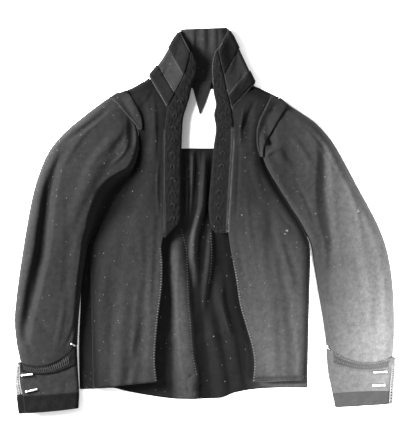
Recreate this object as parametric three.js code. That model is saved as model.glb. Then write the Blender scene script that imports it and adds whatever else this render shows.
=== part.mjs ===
// A short, high-necked folk jacket of fulled wool, laid open on its back.
// Units are millimetres. +X is towards the jacket's right-hand side as seen from above, +Y towards
// the collar and +Z up from the surface it lies on. The fronts, sleeves and cuffs lie on the back
// and undersleeves, the tall collar is folded flat, and the back skirt shows its pleats between
// the fronts.
import * as THREE from "three";

// Driving dimensions.
const CLOTH = 2.2; // fulled wool
const GAP = 0.4; // between pieces at a seam
const UPPER = CLOTH + GAP; // lowest level of what lies on the back
const LINING = 1.2;
const VELVET = 2.8; // folded velvet band on the front edges
const TRIM = 1.2; // velvet sewn flat on the cloth
const BODY_ROLL = 16; // how far the cloth rounds over at a side seam
const SLEEVE_ROLL = 17;
const INNER_ROLL = 9; // at the sleeves' inner edges, next to the body
const ROLL_COLUMNS = 4;
const CROWN = 2.5;
const SEAM_Y = 114; // where the pleated skirt joins the yoke
const ARMHOLE_LEVEL = 12.5; // height of the cloth along the armhole
const COLLAR_FOLD = 6.5; // radius of the collar's side folds
const COLLAR_BACK_RISE = 6; // brings the back's top edge level with the side folds
const CUFF_FOLD = 5.6;

const wool = new THREE.MeshStandardMaterial({ color: 0x4c4c4c, roughness: 0.95 });
const velvet = new THREE.MeshStandardMaterial({ color: 0x232323, roughness: 0.85 });
const linen = new THREE.MeshStandardMaterial({ color: 0xe9e8e4, roughness: 0.9 });
const lace = new THREE.MeshStandardMaterial({ color: 0xc9c7c0, roughness: 0.9 });
const metal = new THREE.MeshStandardMaterial({ color: 0xdedede, roughness: 0.35, metalness: 0.8 });

const jacket = new THREE.Group();

// Tables. Half widths and distances from the centre line grow outwards on both sides.

// The edge that the fronts and the back share: side seam up to y 85, then the armhole.
const BODY_SIDE = [
  { y: -290, x: 171 },
  { y: -192, x: 173 },
  { y: -128, x: 174.5 },
  { y: -64, x: 176 },
  { y: -36, x: 174 },
  { y: -8, x: 162 },
  { y: 27, x: 140 },
  { y: 64, x: 117 },
  { y: 88, x: 104 },
  { y: 110, x: 98 },
  { y: 135, x: 98 },
  { y: 160, x: 105 },
  { y: 180, x: 115 },
  { y: 203, x: 130 },
];

// How far each sleeve's inner edge stands off the side seam.
const SPREAD_LEFT = [
  { y: -290, x: 23 },
  { y: -200, x: 23 },
  { y: -128, x: 17 },
  { y: -80, x: 10 },
  { y: -45, x: 4 },
  { y: -15, x: 0 },
];
const SPREAD_RIGHT = [
  { y: -300, x: 45 },
  { y: -258, x: 38 },
  { y: -194, x: 28 },
  { y: -150, x: 21 },
  { y: -112, x: 14 },
  { y: -64, x: 5 },
  { y: -15, x: 0 },
];

// Fronts, a row for each section from the hem to the shoulder: where the section starts on the
// side, where it ends on the opening edge or neck seam, its height and how far it hangs down.
const FRONT_LEFT = [
  { sideY: -268, edgeX: 69, edgeY: -258, height: 17, sag: 0 },
  { sideY: -232, edgeX: 72, edgeY: -226, height: 18, sag: 0 },
  { sideY: -190, edgeX: 70, edgeY: -186, height: 19, sag: 0 },
  { sideY: -145, edgeX: 66, edgeY: -146, height: 20, sag: 0 },
  { sideY: -100, edgeX: 61, edgeY: -105, height: 20, sag: 0 },
  { sideY: -60, edgeX: 60, edgeY: -70, height: 20, sag: 0 },
  { sideY: -28, edgeX: 62, edgeY: -42, height: 20, sag: 0 },
  { sideY: 0, edgeX: 57, edgeY: -16, height: 20, sag: 0 },
  { sideY: 28, edgeX: 57, edgeY: 16, height: 19, sag: 0 },
  { sideY: 58, edgeX: 58, edgeY: 50, height: 19, sag: 0 },
  { sideY: 85, edgeX: 58, edgeY: 84, height: 18, sag: 0 },
  { sideY: 110, edgeX: 58, edgeY: 116, height: 18, sag: 0 },
  { sideY: 135, edgeX: 57, edgeY: 146, height: 17, sag: 0 },
  { sideY: 158, edgeX: 54.5, edgeY: 176, height: 17, sag: 0 },
  { sideY: 176, edgeX: 63, edgeY: 194, height: 16, sag: 1 },
  { sideY: 190, edgeX: 72, edgeY: 210, height: 14, sag: 3 },
  { sideY: 199, edgeX: 79, edgeY: 222, height: 9, sag: 5 },
  { sideY: 203, edgeX: 82.5, edgeY: 227, height: 4.5, sag: 5 },
];
const FRONT_RIGHT = [
  { sideY: -255, edgeX: 85, edgeY: -258, height: 17, sag: 0 },
  { sideY: -230, edgeX: 87, edgeY: -228, height: 18, sag: 0 },
  { sideY: -200, edgeX: 83, edgeY: -200, height: 19, sag: 0 },
  { sideY: -165, edgeX: 73, edgeY: -166, height: 20, sag: 0 },
  { sideY: -130, edgeX: 64, edgeY: -134, height: 20, sag: 0 },
  { sideY: -95, edgeX: 59, edgeY: -100, height: 20, sag: 0 },
  { sideY: -60, edgeX: 53, edgeY: -66, height: 20, sag: 0 },
  { sideY: -28, edgeX: 48, edgeY: -36, height: 20, sag: 0 },
  { sideY: 0, edgeX: 45, edgeY: -8, height: 20, sag: 0 },
  { sideY: 28, edgeX: 47, edgeY: 24, height: 19, sag: 0 },
  { sideY: 58, edgeX: 49, edgeY: 56, height: 19, sag: 0 },
  { sideY: 85, edgeX: 51, edgeY: 88, height: 18, sag: 0 },
  { sideY: 110, edgeX: 53, edgeY: 118, height: 18, sag: 0 },
  { sideY: 135, edgeX: 54, edgeY: 148, height: 17, sag: 0 },
  { sideY: 158, edgeX: 52.5, edgeY: 175, height: 17, sag: 0 },
  { sideY: 175, edgeX: 64, edgeY: 190, height: 16, sag: 1 },
  { sideY: 187, edgeX: 75, edgeY: 202, height: 14, sag: 3 },
  { sideY: 193.5, edgeX: 83, edgeY: 211, height: 9, sag: 5 },
  { sideY: 196.5, edgeX: 86.5, edgeY: 215, height: 4.5, sag: 5 },
];

// Sleeves, a row for each section from the shoulder to the cuff: the outer edge's point, the
// height on the armhole or side seam where the section ends, its height and its hang.
const SLEEVE_LEFT = [
  { x: 132, y: 204, innerY: 180, height: 8, sag: 0 },
  { x: 147, y: 194, innerY: 160, height: 14, sag: 0 },
  { x: 164, y: 182, innerY: 140, height: 20, sag: 0 },
  { x: 186, y: 165, innerY: 120, height: 25, sag: 0 },
  { x: 208, y: 147, innerY: 100, height: 29, sag: 0 },
  { x: 228, y: 127, innerY: 81, height: 31, sag: 0 },
  { x: 244, y: 104, innerY: 60, height: 32, sag: 0 },
  { x: 256, y: 76, innerY: 37, height: 31, sag: 0 },
  { x: 266, y: 43, innerY: 10, height: 30, sag: 0 },
  { x: 274, y: 4, innerY: -22, height: 28, sag: 0 },
  { x: 282, y: -44, innerY: -62, height: 26, sag: 0 },
  { x: 290, y: -98, innerY: -106, height: 24, sag: 0 },
  { x: 296, y: -156, innerY: -150, height: 22, sag: 2 },
  { x: 293, y: -196, innerY: -180, height: 19, sag: 9 },
  { x: 287, y: -226, innerY: -200, height: 15, sag: 18 },
];
const SLEEVE_RIGHT = [
  { x: 128, y: 195, innerY: 178, height: 8, sag: 0 },
  { x: 146, y: 181, innerY: 158, height: 14, sag: 0 },
  { x: 163, y: 170, innerY: 138, height: 20, sag: 0 },
  { x: 184, y: 155, innerY: 118, height: 25, sag: 0 },
  { x: 204, y: 134, innerY: 98, height: 29, sag: 0 },
  { x: 219, y: 112, innerY: 79, height: 31, sag: 0 },
  { x: 234, y: 85, innerY: 58, height: 32, sag: 0 },
  { x: 251, y: 53, innerY: 34, height: 31, sag: 0 },
  { x: 269, y: 21, innerY: 6, height: 30, sag: 0 },
  { x: 286, y: -13, innerY: -24, height: 28, sag: 0 },
  { x: 299, y: -50, innerY: -58, height: 26, sag: 0 },
  { x: 307, y: -96, innerY: -100, height: 24, sag: 0 },
  { x: 310, y: -144, innerY: -145, height: 22, sag: 2 },
  { x: 310, y: -188, innerY: -180, height: 19, sag: 8 },
  { x: 308, y: -218, innerY: -203, height: 15, sag: 16 },
];

// Folds of the fronts: the line that each follows, its half width and its rise or depth.
const FRONT_FOLDS_LEFT = [
  [
    { y: 90, x: 88, half: 10, rise: 0 },
    { y: 125, x: 87, half: 13, rise: -4 },
    { y: 165, x: 90, half: 12, rise: -4 },
    { y: 200, x: 96, half: 10, rise: 0 },
  ],
  [
    { y: -268, x: 130, half: 16, rise: 3 },
    { y: -150, x: 124, half: 18, rise: 2.5 },
    { y: -20, x: 108, half: 16, rise: 0 },
  ],
  [
    { y: -268, x: 98, half: 14, rise: -2 },
    { y: -160, x: 92, half: 14, rise: -2.5 },
    { y: 30, x: 86, half: 12, rise: 0 },
  ],
];
const FRONT_FOLDS_RIGHT = [
  [
    { y: 110, x: 76, half: 10, rise: 0 },
    { y: 150, x: 74, half: 12, rise: -3 },
    { y: 195, x: 84, half: 10, rise: 0 },
  ],
  [
    { y: -266, x: 146, half: 13, rise: -2 },
    { y: -140, x: 140, half: 13, rise: -3.5 },
    { y: -20, x: 118, half: 12, rise: -1.5 },
    { y: 50, x: 96, half: 10, rise: 0 },
  ],
  [
    { y: -266, x: 120, half: 15, rise: 3 },
    { y: -120, x: 112, half: 16, rise: 2.5 },
    { y: 20, x: 86, half: 14, rise: 0 },
  ],
];

// Folds of the sleeves: the section they cross, the share of its width, half width and rise.
const SLEEVE_FOLDS_LEFT = [
  [
    { at: 1, share: 0.2, half: 7, rise: 0 },
    { at: 3, share: 0.18, half: 8, rise: -4 },
    { at: 5, share: 0.1, half: 8, rise: -3 },
    { at: 6, share: 0.1, half: 8, rise: 0 },
  ],
  [
    { at: 5, share: 0.16, half: 12, rise: 0 },
    { at: 7, share: 0.18, half: 13, rise: -6 },
    { at: 9, share: 0.24, half: 14, rise: -10 },
    { at: 10, share: 0.27, half: 14, rise: -11 },
    { at: 11, share: 0.25, half: 14, rise: -9 },
    { at: 12, share: 0.18, half: 13, rise: -6 },
    { at: 13, share: 0.12, half: 12, rise: 0 },
  ],
  [
    { at: 1, share: 0.85, half: 9, rise: 0 },
    { at: 2.5, share: 0.86, half: 12, rise: -6 },
    { at: 4, share: 0.9, half: 12, rise: 0 },
  ],
  [
    { at: 3, share: 0.62, half: 16, rise: 0 },
    { at: 5, share: 0.6, half: 18, rise: 4 },
    { at: 8, share: 0.62, half: 18, rise: 3 },
    { at: 10, share: 0.62, half: 16, rise: 0 },
  ],
  [
    { at: 4.3, share: 0.99, half: 6, rise: 0 },
    { at: 5, share: 0.99, half: 8, rise: -12 },
    { at: 6, share: 0.965, half: 22, rise: -27 },
    { at: 7, share: 0.95, half: 28, rise: -28 },
    { at: 8, share: 0.96, half: 22, rise: -27 },
    { at: 9, share: 0.98, half: 13, rise: -21 },
    { at: 10, share: 1, half: 8, rise: -10 },
    { at: 11, share: 1, half: 8, rise: 0 },
  ],
];
const SLEEVE_FOLDS_RIGHT = [
  [
    { at: 4, share: 0.12, half: 12, rise: 0 },
    { at: 5, share: 0.2, half: 13, rise: -4 },
    { at: 6, share: 0.33, half: 14, rise: -7 },
    { at: 7, share: 0.47, half: 15, rise: -8 },
    { at: 8, share: 0.6, half: 15, rise: -8 },
    { at: 9, share: 0.7, half: 14, rise: -6 },
    { at: 11, share: 0.76, half: 12, rise: 0 },
  ],
  [
    { at: 1, share: 0.83, half: 14, rise: 0 },
    { at: 2.4, share: 0.83, half: 15, rise: -7 },
    { at: 3.8, share: 0.84, half: 14, rise: 0 },
  ],
  [
    { at: 3.2, share: 0.72, half: 12, rise: 0 },
    { at: 4.3, share: 0.76, half: 12, rise: 4 },
    { at: 5.4, share: 0.68, half: 12, rise: 0 },
  ],
  [
    { at: 8, share: 0.3, half: 16, rise: 0 },
    { at: 11, share: 0.32, half: 18, rise: 3 },
    { at: 14, share: 0.35, half: 16, rise: 0 },
  ],
];

// The pleats of the back skirt's middle, from the skirt seam to the hem.
const SKIRT_PLEATS = [
  [
    { y: -290, x: -17, half: 27, rise: 7 },
    { y: -250, x: -19, half: 27, rise: 9.5 },
    { y: -200, x: -23, half: 24, rise: 11 },
    { y: -160, x: -26, half: 22, rise: 11.5 },
    { y: -128, x: -29, half: 20, rise: 11.5 },
    { y: -80, x: -36, half: 19, rise: 10.5 },
    { y: -45, x: -38, half: 15, rise: 8 },
    { y: -12, x: -35, half: 10, rise: 0 },
  ],
  [
    { y: -115, x: -7, half: 8, rise: 0 },
    { y: -88, x: -8, half: 8, rise: 4 },
    { y: -56, x: -11, half: 8, rise: 8 },
    { y: -24, x: -9, half: 8, rise: 9.5 },
    { y: 0, x: -3, half: 8, rise: 9.5 },
    { y: 24, x: 3, half: 8, rise: 9.5 },
    { y: 56, x: 5, half: 8, rise: 8.5 },
    { y: 88, x: 7, half: 7, rise: 6 },
    { y: 110, x: 8, half: 6, rise: 1 },
  ],
  [
    { y: -150, x: 4, half: 7, rise: 0 },
    { y: -120, x: 7, half: 7, rise: 5 },
    { y: -88, x: 11, half: 7, rise: 8 },
    { y: -61, x: 14, half: 7, rise: 8.5 },
    { y: -32, x: 16, half: 6, rise: 6 },
    { y: 0, x: 18, half: 6, rise: 0 },
  ],
  [
    { y: -290, x: 62, half: 14, rise: 2 },
    { y: -208, x: 51, half: 13, rise: 3.5 },
    { y: -168, x: 42, half: 12, rise: 4.5 },
    { y: -128, x: 32, half: 12, rise: 5 },
    { y: -70, x: 28, half: 10, rise: 0 },
  ],
  [
    { y: -290, x: 34, half: 16, rise: 4 },
    { y: -224, x: 26, half: 14, rise: 4.5 },
    { y: -176, x: 17, half: 11, rise: 5 },
    { y: -140, x: 12, half: 9, rise: 0 },
  ],
  [
    { y: -20, x: -22, half: 8, rise: 0 },
    { y: 32, x: -18, half: 8, rise: 3 },
    { y: 96, x: -14, half: 8, rise: 3.5 },
    { y: 112, x: -13, half: 8, rise: 1.5 },
  ],
];
// Lines that the skirt's columns of points follow, so that they run with its pleats.
const SKIRT_GUIDES = [
  { y: 114, a: -58, b: -37, c: 8, d: 20, e: 42, f: 74 },
  { y: 56, a: -58, b: -37, c: 5, d: 19, e: 42, f: 74 },
  { y: 0, a: -58, b: -37, c: -3, d: 18, e: 38, f: 74 },
  { y: -32, a: -60, b: -38, c: -9.5, d: 16, e: 34, f: 74 },
  { y: -61, a: -60, b: -36.5, c: -11, d: 14, e: 30, f: 74 },
  { y: -100, a: -60, b: -34, c: -8, d: 9.5, e: 30, f: 74 },
  { y: -135, a: -60, b: -31, c: -9, d: 8, e: 33, f: 74 },
  { y: -176, a: -58, b: -26, c: -6, d: 14, e: 44, f: 80 },
  { y: -224, a: -56, b: -21, c: 2, d: 24, e: 54, f: 90 },
  { y: -288, a: -54, b: -17, c: 8, d: 34, e: 62, f: 95 },
];
const SKIRT_COLUMNS = [3, 6, 8, 6, 6, 6, 3];
const SKIRT_HEM = [
  { x: -172, y: -270 },
  { x: -139, y: -268 },
  { x: -118, y: -273 },
  { x: -80, y: -280 },
  { x: -40, y: -285 },
  { x: 8, y: -285 },
  { x: 36, y: -283 },
  { x: 57, y: -275 },
  { x: 99, y: -269 },
  { x: 172, y: -268 },
];

// Collar, from the neck seam (at 0) to its top edge (at 1): the front edges of its two wings and
// the outlines of its two side folds.
const COLLAR = [
  { at: 0, leftX: -52.5, leftY: 181, leftFoldX: -82, leftFoldY: 230.5, rightFoldX: 88.5, rightFoldY: 219, rightX: 51.5, rightY: 180 },
  { at: 0.33, leftX: -39, leftY: 207, leftFoldX: -65, leftFoldY: 251, rightFoldX: 77, rightFoldY: 243, rightX: 45, rightY: 203 },
  { at: 0.63, leftX: -26, leftY: 233, leftFoldX: -50, leftFoldY: 275, rightFoldX: 62, rightFoldY: 275, rightX: 39, rightY: 232 },
  { at: 1, leftX: -16, leftY: 269, leftFoldX: -34, leftFoldY: 304, rightFoldX: 47, rightFoldY: 307, rightX: 30, rightY: 271 },
];
const COLLAR_LEVELS = [0, 0.03, 0.15, 0.27, 0.45, 0.63, 0.8, 0.97, 1];
const COLLAR_LOW_TRIM = [1, 3]; // first and last level of each velvet trim
const COLLAR_TOP_TRIM = [5, 7];
const COLLAR_PUCKERS = [
  { x: -12, half: 7, rise: 4 },
  { x: 6, half: 8, rise: 5 },
  { x: 23, half: 7, rise: 4 },
];

// Velvet bands that edge both fronts from the chest to the collar's top, outer and inner edges.
const BAND_LEFT = [
  { outerX: -56, outerY: -28, innerX: -34, innerY: -5, z: 20.4 },
  { outerX: -56, outerY: -14, innerX: -31.5, innerY: 4, z: 20.6 },
  { outerX: -56, outerY: 16, innerX: -31, innerY: 20, z: 20 },
  { outerX: -57, outerY: 50, innerX: -31, innerY: 50, z: 19.8 },
  { outerX: -57, outerY: 84, innerX: -30.5, innerY: 84, z: 19.2 },
  { outerX: -57, outerY: 116, innerX: -30, innerY: 114, z: 19 },
  { outerX: -56, outerY: 146, innerX: -29, innerY: 142, z: 18.6 },
  { outerX: -53.4, outerY: 172, innerX: -27, innerY: 164, z: 18.4 },
  { outerX: -47.4, outerY: 188, innerX: -22, innerY: 181, z: 18.8 },
  { outerX: -39, outerY: 204, innerX: -17, innerY: 197, z: 19.4 },
  { outerX: -31, outerY: 219, innerX: -14, innerY: 212, z: 20.2 },
  { outerX: -24.6, outerY: 233, innerX: -7, innerY: 230, z: 21 },
  { outerX: -19, outerY: 251, innerX: -5, innerY: 242, z: 22 },
  { outerX: -14.4, outerY: 268, innerX: -6, innerY: 254, z: 23 },
];
const BAND_RIGHT = [
  { outerX: 44, outerY: -20, innerX: 24, innerY: -19, z: 20.4 },
  { outerX: 44, outerY: -8, innerX: 17.5, innerY: -8, z: 20.6 },
  { outerX: 45.8, outerY: 24, innerX: 14.5, innerY: 20, z: 20 },
  { outerX: 47.8, outerY: 56, innerX: 17, innerY: 56, z: 19.8 },
  { outerX: 49.8, outerY: 88, innerX: 20, innerY: 88, z: 19.2 },
  { outerX: 51.8, outerY: 118, innerX: 22.5, innerY: 118, z: 19 },
  { outerX: 52.6, outerY: 148, innerX: 26, innerY: 146, z: 18.6 },
  { outerX: 51, outerY: 171, innerX: 23, innerY: 168, z: 18.4 },
  { outerX: 47.6, outerY: 188, innerX: 26, innerY: 184, z: 18.8 },
  { outerX: 43.4, outerY: 204, innerX: 23, innerY: 200, z: 19.4 },
  { outerX: 40.2, outerY: 218, innerX: 21, innerY: 215, z: 20.2 },
  { outerX: 37.4, outerY: 232, innerX: 20, innerY: 231, z: 21 },
  { outerX: 32.6, outerY: 252, innerX: 20, innerY: 247, z: 22 },
  { outerX: 28.4, outerY: 270, innerX: 21.5, innerY: 260, z: 23 },
];
const BAND_DROP = 2.5; // the inner edge hangs this much lower
const FASTENER_PITCH = 20.6; // hooks on the left band and eyes on the right
const FASTENER_COUNT = 10;
const FASTENER_FIRST_Y = 4;

// Crescent wings of cloth over the armhole seams, from the shoulder down.
const WING_LEFT = [
  { innerX: -118, innerY: 207, outerX: -144, outerY: 196 },
  { innerX: -108, innerY: 193, outerX: -133, outerY: 187 },
  { innerX: -99, innerY: 177, outerX: -120, outerY: 172 },
  { innerX: -93, innerY: 161, outerX: -107, outerY: 158 },
  { innerX: -92, innerY: 145, outerX: -97, outerY: 144 },
];
const WING_RIGHT = [
  { innerX: 114, innerY: 199, outerX: 141, outerY: 184 },
  { innerX: 105, innerY: 180, outerX: 132, outerY: 171 },
  { innerX: 95, innerY: 159, outerX: 121, outerY: 153 },
  { innerX: 91, innerY: 138, outerX: 111, outerY: 136 },
  { innerX: 92, innerY: 118, outerX: 102, outerY: 117 },
  { innerX: 97, innerY: 101, outerX: 100, outerY: 101 },
];

// Cuffs, from the sleeve seam (at 0) to the hem band's lower edge (at 1): the slit's edge, the
// lower layer's edge beneath it, the fold at the inner seam, the hang and the height.
const CUFF_LEFT = [
  { at: 0, slitX: -287, slitY: -227, underX: -292, underY: -228.2, foldX: -196.6, foldY: -201.1, sag: 18, height: 14 },
  { at: 0.35, slitX: -286.5, slitY: -248, underX: -294, underY: -248, foldX: -195, foldY: -240, sag: 8, height: 13 },
  { at: 0.7, slitX: -282, slitY: -281, underX: -293, underY: -281, foldX: -193, foldY: -275, sag: 0.5, height: 12 },
  { at: 1, slitX: -279, slitY: -308, underX: -290, underY: -308, foldX: -194, foldY: -300, sag: 1, height: 11.5 },
];
const CUFF_RIGHT = [
  { at: 0, slitX: 308, slitY: -219, underX: 312, underY: -220.4, foldX: 202, foldY: -204.1, sag: 16, height: 14 },
  { at: 0.35, slitX: 304, slitY: -243, underX: 311, underY: -243, foldX: 204, foldY: -238, sag: 6, height: 13 },
  { at: 0.7, slitX: 300, slitY: -273, underX: 309, underY: -273, foldX: 211.5, foldY: -277, sag: -1, height: 12 },
  { at: 1, slitX: 299, slitY: -294, underX: 308, underY: -294, foldX: 216, foldY: -299, sag: 0, height: 11.5 },
];
const CUFF_LEVELS = [0, 0.08, 0.16, 0.24, 0.35, 0.47, 0.59, 0.7];
const HEM_LEVELS = [0.706, 0.8, 0.9, 1];
const CUFF_TRIM_ROWS = 3; // the embroidered trim covers the first rows of the cuff

// Bars of the cuff fasteners: the knob's end, the plain end and the bar's radius.
const CUFF_BARS = [
  { name: "cuff_clasp_left_upper", x: -286, y: -248, endX: -267, endY: -246, radius: 1.7 },
  { name: "cuff_clasp_left_lower", x: -279, y: -274.5, endX: -260, endY: -270, radius: 1.7 },
  { name: "cuff_clasp_left_seam", x: -206, y: -197, endX: -199.5, endY: -200.5, radius: 1.2 },
  { name: "cuff_clasp_right_upper", x: 299, y: -242, endX: 277, endY: -243, radius: 1.7 },
  { name: "cuff_clasp_right_lower", x: 296, y: -263.5, endX: 275, endY: -264, radius: 1.7 },
  { name: "cuff_clasp_right_seam", x: 198.5, y: -198.5, endX: 204, endY: -201.5, radius: 1.2 },
];

// Lace along each cuff slit: its middle line.
const LACE_LEFT = [
  { x: -289, y: -230 },
  { x: -291.5, y: -245 },
  { x: -290.5, y: -262 },
  { x: -287, y: -279 },
];
const LACE_RIGHT = [
  { x: 309, y: -222 },
  { x: 309.5, y: -240 },
  { x: 307.5, y: -262 },
  { x: 306, y: -292 },
];

// Curves.

// A smooth curve through a table's column. Keys rise; past its ends it stays level.
function curve(rows, key, column) {
  const keys = rows.map((row) => row[key]);
  const values = rows.map((row) => row[column]);
  const last = keys.length - 1;
  const slopes = values.map((_, i) => {
    const before = Math.max(i - 1, 0);
    const after = Math.min(i + 1, last);
    return (values[after] - values[before]) / (keys[after] - keys[before]);
  });
  return (t) => {
    if (t <= keys[0]) return values[0];
    if (t >= keys[last]) return values[last];
    const i = keys.findIndex((k) => k > t) - 1;
    const span = keys[i + 1] - keys[i];
    const f = (t - keys[i]) / span;
    const f2 = f * f;
    const f3 = f2 * f;
    return (
      (2 * f3 - 3 * f2 + 1) * values[i] +
      (f3 - 2 * f2 + f) * span * slopes[i] +
      (3 * f2 - 2 * f3) * values[i + 1] +
      (f3 - f2) * span * slopes[i + 1]
    );
  };
}

// All columns of a table of evenly spaced rows as curves of the row number.
function curves(rows) {
  const numbered = rows.map((row, at) => ({ at, ...row }));
  const columns = Object.keys(rows[0]).filter((name) => name !== "at");
  return Object.fromEntries(columns.map((name) => [name, curve(numbered, "at", name)]));
}

const bodySide = curve(BODY_SIDE, "y", "x");
const mix = (a, b, f) => a + (b - a) * f;
const smoothStep = (f) => {
  const c = Math.min(Math.max(f, 0), 1);
  return c * c * (3 - 2 * c);
};
const bump = (q) => (Math.abs(q) < 1 ? (1 + Math.cos(Math.PI * q)) / 2 : 0);
const broad = (q) => Math.sqrt(bump(q)); // a pleat's broad back

// Level of the cloth's edge at the side: on the back along the side seam, raised at the armhole.
const edgeLevel = (y) => mix(UPPER, ARMHOLE_LEVEL, smoothStep((y - 58) / 50));

// Folds whose columns are curves of "key", summed at one place.
function folding(folds, key, centre, profile = bump) {
  const read = folds.map((rows) => {
    const sorted = [...rows].sort((a, b) => a[key] - b[key]);
    return {
      from: sorted[0][key],
      to: sorted[sorted.length - 1][key],
      centre: curve(sorted, key, centre),
      half: curve(sorted, key, "half"),
      rise: curve(sorted, key, "rise"),
    };
  });
  return (along, distanceTo) =>
    read
      .filter((fold) => along >= fold.from && along <= fold.to)
      .reduce((sum, fold) => {
        const away = distanceTo(fold.centre(along));
        return sum + fold.rise(along) * profile(away / fold.half(along));
      }, 0);
}

// Solids.

function add(name, geometry, material) {
  const mesh = new THREE.Mesh(geometry, material);
  mesh.name = name;
  jacket.add(mesh);
  return mesh;
}

// Six times the volume that the triangles enclose, with its sign.
function signedVolume(points, faces) {
  const cross = new THREE.Vector3();
  return faces.reduce(
    (sum, [a, b, c]) => sum + cross.crossVectors(points[a], points[b]).dot(points[c]),
    0,
  );
}

// A wall between two grids of points, closed round its four rims.
function wall(name, material, outer, inner) {
  const rows = outer.length;
  const columns = outer[0].length;
  const points = [...outer.flat(), ...inner.flat()];
  const at = (side, i, j) => side * rows * columns + i * columns + j;
  const faces = [];
  const quad = (a, b, c, d) => faces.push([a, b, c], [a, c, d]);
  for (let i = 0; i < rows - 1; i++) {
    for (let j = 0; j < columns - 1; j++) {
      quad(at(0, i, j), at(0, i, j + 1), at(0, i + 1, j + 1), at(0, i + 1, j));
      quad(at(1, i, j), at(1, i + 1, j), at(1, i + 1, j + 1), at(1, i, j + 1));
    }
  }
  for (let j = 0; j < columns - 1; j++) {
    quad(at(0, 0, j), at(1, 0, j), at(1, 0, j + 1), at(0, 0, j + 1));
    quad(at(0, rows - 1, j + 1), at(1, rows - 1, j + 1), at(1, rows - 1, j), at(0, rows - 1, j));
  }
  for (let i = 0; i < rows - 1; i++) {
    quad(at(0, i + 1, 0), at(1, i + 1, 0), at(1, i, 0), at(0, i, 0));
    quad(at(0, i, columns - 1), at(1, i, columns - 1), at(1, i + 1, columns - 1), at(0, i + 1, columns - 1));
  }
  if (signedVolume(points, faces) < 0) faces.forEach((face) => face.reverse());
  const geometry = new THREE.BufferGeometry().setFromPoints(points);
  geometry.setIndex(faces.flat());
  geometry.computeVertexNormals();
  return add(name, geometry, material);
}

// Unit normals of a grid of points, from its neighbours.
function gridNormals(grid) {
  const rows = grid.length;
  const columns = grid[0].length;
  return grid.map((row, i) =>
    row.map((_, j) => {
      const down = grid[Math.min(i + 1, rows - 1)][j].clone().sub(grid[Math.max(i - 1, 0)][j]);
      const over = grid[i][Math.min(j + 1, columns - 1)].clone().sub(grid[i][Math.max(j - 1, 0)]);
      return over.cross(down).normalize();
    }),
  );
}

// The grid moved along its normals, and kept at or above a level.
function moved(grid, distance, lowest = -Infinity) {
  const normals = gridNormals(grid);
  return grid.map((row, i) =>
    row.map((point, j) => {
      const out = point.clone().addScaledVector(normals[i][j], distance);
      out.z = Math.max(out.z, lowest);
      return out;
    }),
  );
}

// The normal's way on a grid seen from above: 1 if it points up.
const facing = (grid) => Math.sign(gridNormals(grid)[1][Math.floor(grid[0].length / 2)].z);

// Cloth domed between two edges. It rounds over at the first edge, and at the second if that has a
// roll of its own.
function domedGrid({ first, second, height, sag, levels, steps, roll, endRoll, columns, fold }) {
  const grid = [];
  for (let i = 0; i <= steps; i++) {
    const t = (i / steps) * levels;
    const a = first(t);
    const b = second(t);
    const width = Math.hypot(b.x - a.x, b.y - a.y);
    const r = Math.min(roll, width * 0.3);
    const s = Math.min(endRoll, width * 0.3);
    const plain = width - r - s;
    const places = [];
    for (let k = 0; k < ROLL_COLUMNS; k++) {
      const angle = ((k / ROLL_COLUMNS) * Math.PI) / 2;
      places.push({ d: r * (1 - Math.cos(angle)), lift: Math.sin(angle), edge: a.z });
    }
    for (let k = 0; k <= columns; k++) places.push({ d: r + (plain * k) / columns, lift: 1, edge: 0 });
    if (endRoll > 0) {
      for (let k = ROLL_COLUMNS - 1; k >= 0; k--) {
        const angle = ((k / ROLL_COLUMNS) * Math.PI) / 2;
        places.push({ d: width - s * (1 - Math.cos(angle)), lift: Math.sin(angle), edge: b.z });
      }
    }
    grid.push(
      places.map(({ d, lift, edge }) => {
        const u = d / width;
        const top = height(t) + CROWN * Math.sin(Math.PI * u) + fold(t, d, width, a, b);
        return new THREE.Vector3(
          mix(a.x, b.x, u),
          mix(a.y, b.y, u) - sag(t) * 4 * u * (1 - u),
          edge + (Math.max(top, edge) - edge) * lift,
        );
      }),
    );
  }
  return grid;
}

// A piece of flat cloth cut to an outline.
function flatCloth(name, material, outline, bottom, thickness) {
  const geometry = new THREE.ExtrudeGeometry(new THREE.Shape(outline), {
    depth: thickness,
    bevelEnabled: false,
    curveSegments: 1,
  });
  geometry.translate(0, 0, bottom);
  return add(name, geometry, material);
}

// Height of the highest of some meshes at a place.
const ray = new THREE.Raycaster();
const DOWN = new THREE.Vector3(0, 0, -1);
function topOf(meshes, x, y) {
  ray.set(new THREE.Vector3(x, y, 200), DOWN);
  const hits = ray.intersectObjects(meshes, false);
  return hits.length ? hits[0].point.z : -Infinity;
}

// Height of the highest of some meshes within reach of a place.
function topNear(meshes, x, y, reach) {
  const sides = [[0, 0], [1, 0], [-1, 0], [0, 1], [0, -1], [0.7, 0.7], [-0.7, 0.7], [0.7, -0.7], [-0.7, -0.7]];
  return Math.max(...sides.map(([dx, dy]) => topOf(meshes, x + dx * reach, y + dy * reach)));
}

// Back.

const NECK_BACK = [
  new THREE.Vector2(-79, 224.3),
  new THREE.Vector2(0, 219.1),
  new THREE.Vector2(84, 213.6),
];

function yokeOutline(inset) {
  const rising = [SEAM_Y + 0.8, 122, 135, 148, 160, 172, 184].map(
    (y) => new THREE.Vector2(bodySide(y) - 0.2 - inset, y),
  );
  const falling = [...rising].reverse().map((p) => new THREE.Vector2(-p.x, p.y));
  const shoulders = [
    new THREE.Vector2(124 - inset, 196 - inset),
    new THREE.Vector2(108 - inset * 0.5, 204 - inset),
    ...[...NECK_BACK].reverse().map((p) => new THREE.Vector2(p.x * (1 - inset * 0.035), p.y + inset * 0.3)),
    new THREE.Vector2(-108 + inset * 0.5, 211 - inset),
    new THREE.Vector2(-128 + inset, 202 - inset),
  ];
  return [...rising, ...shoulders, ...falling];
}

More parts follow.
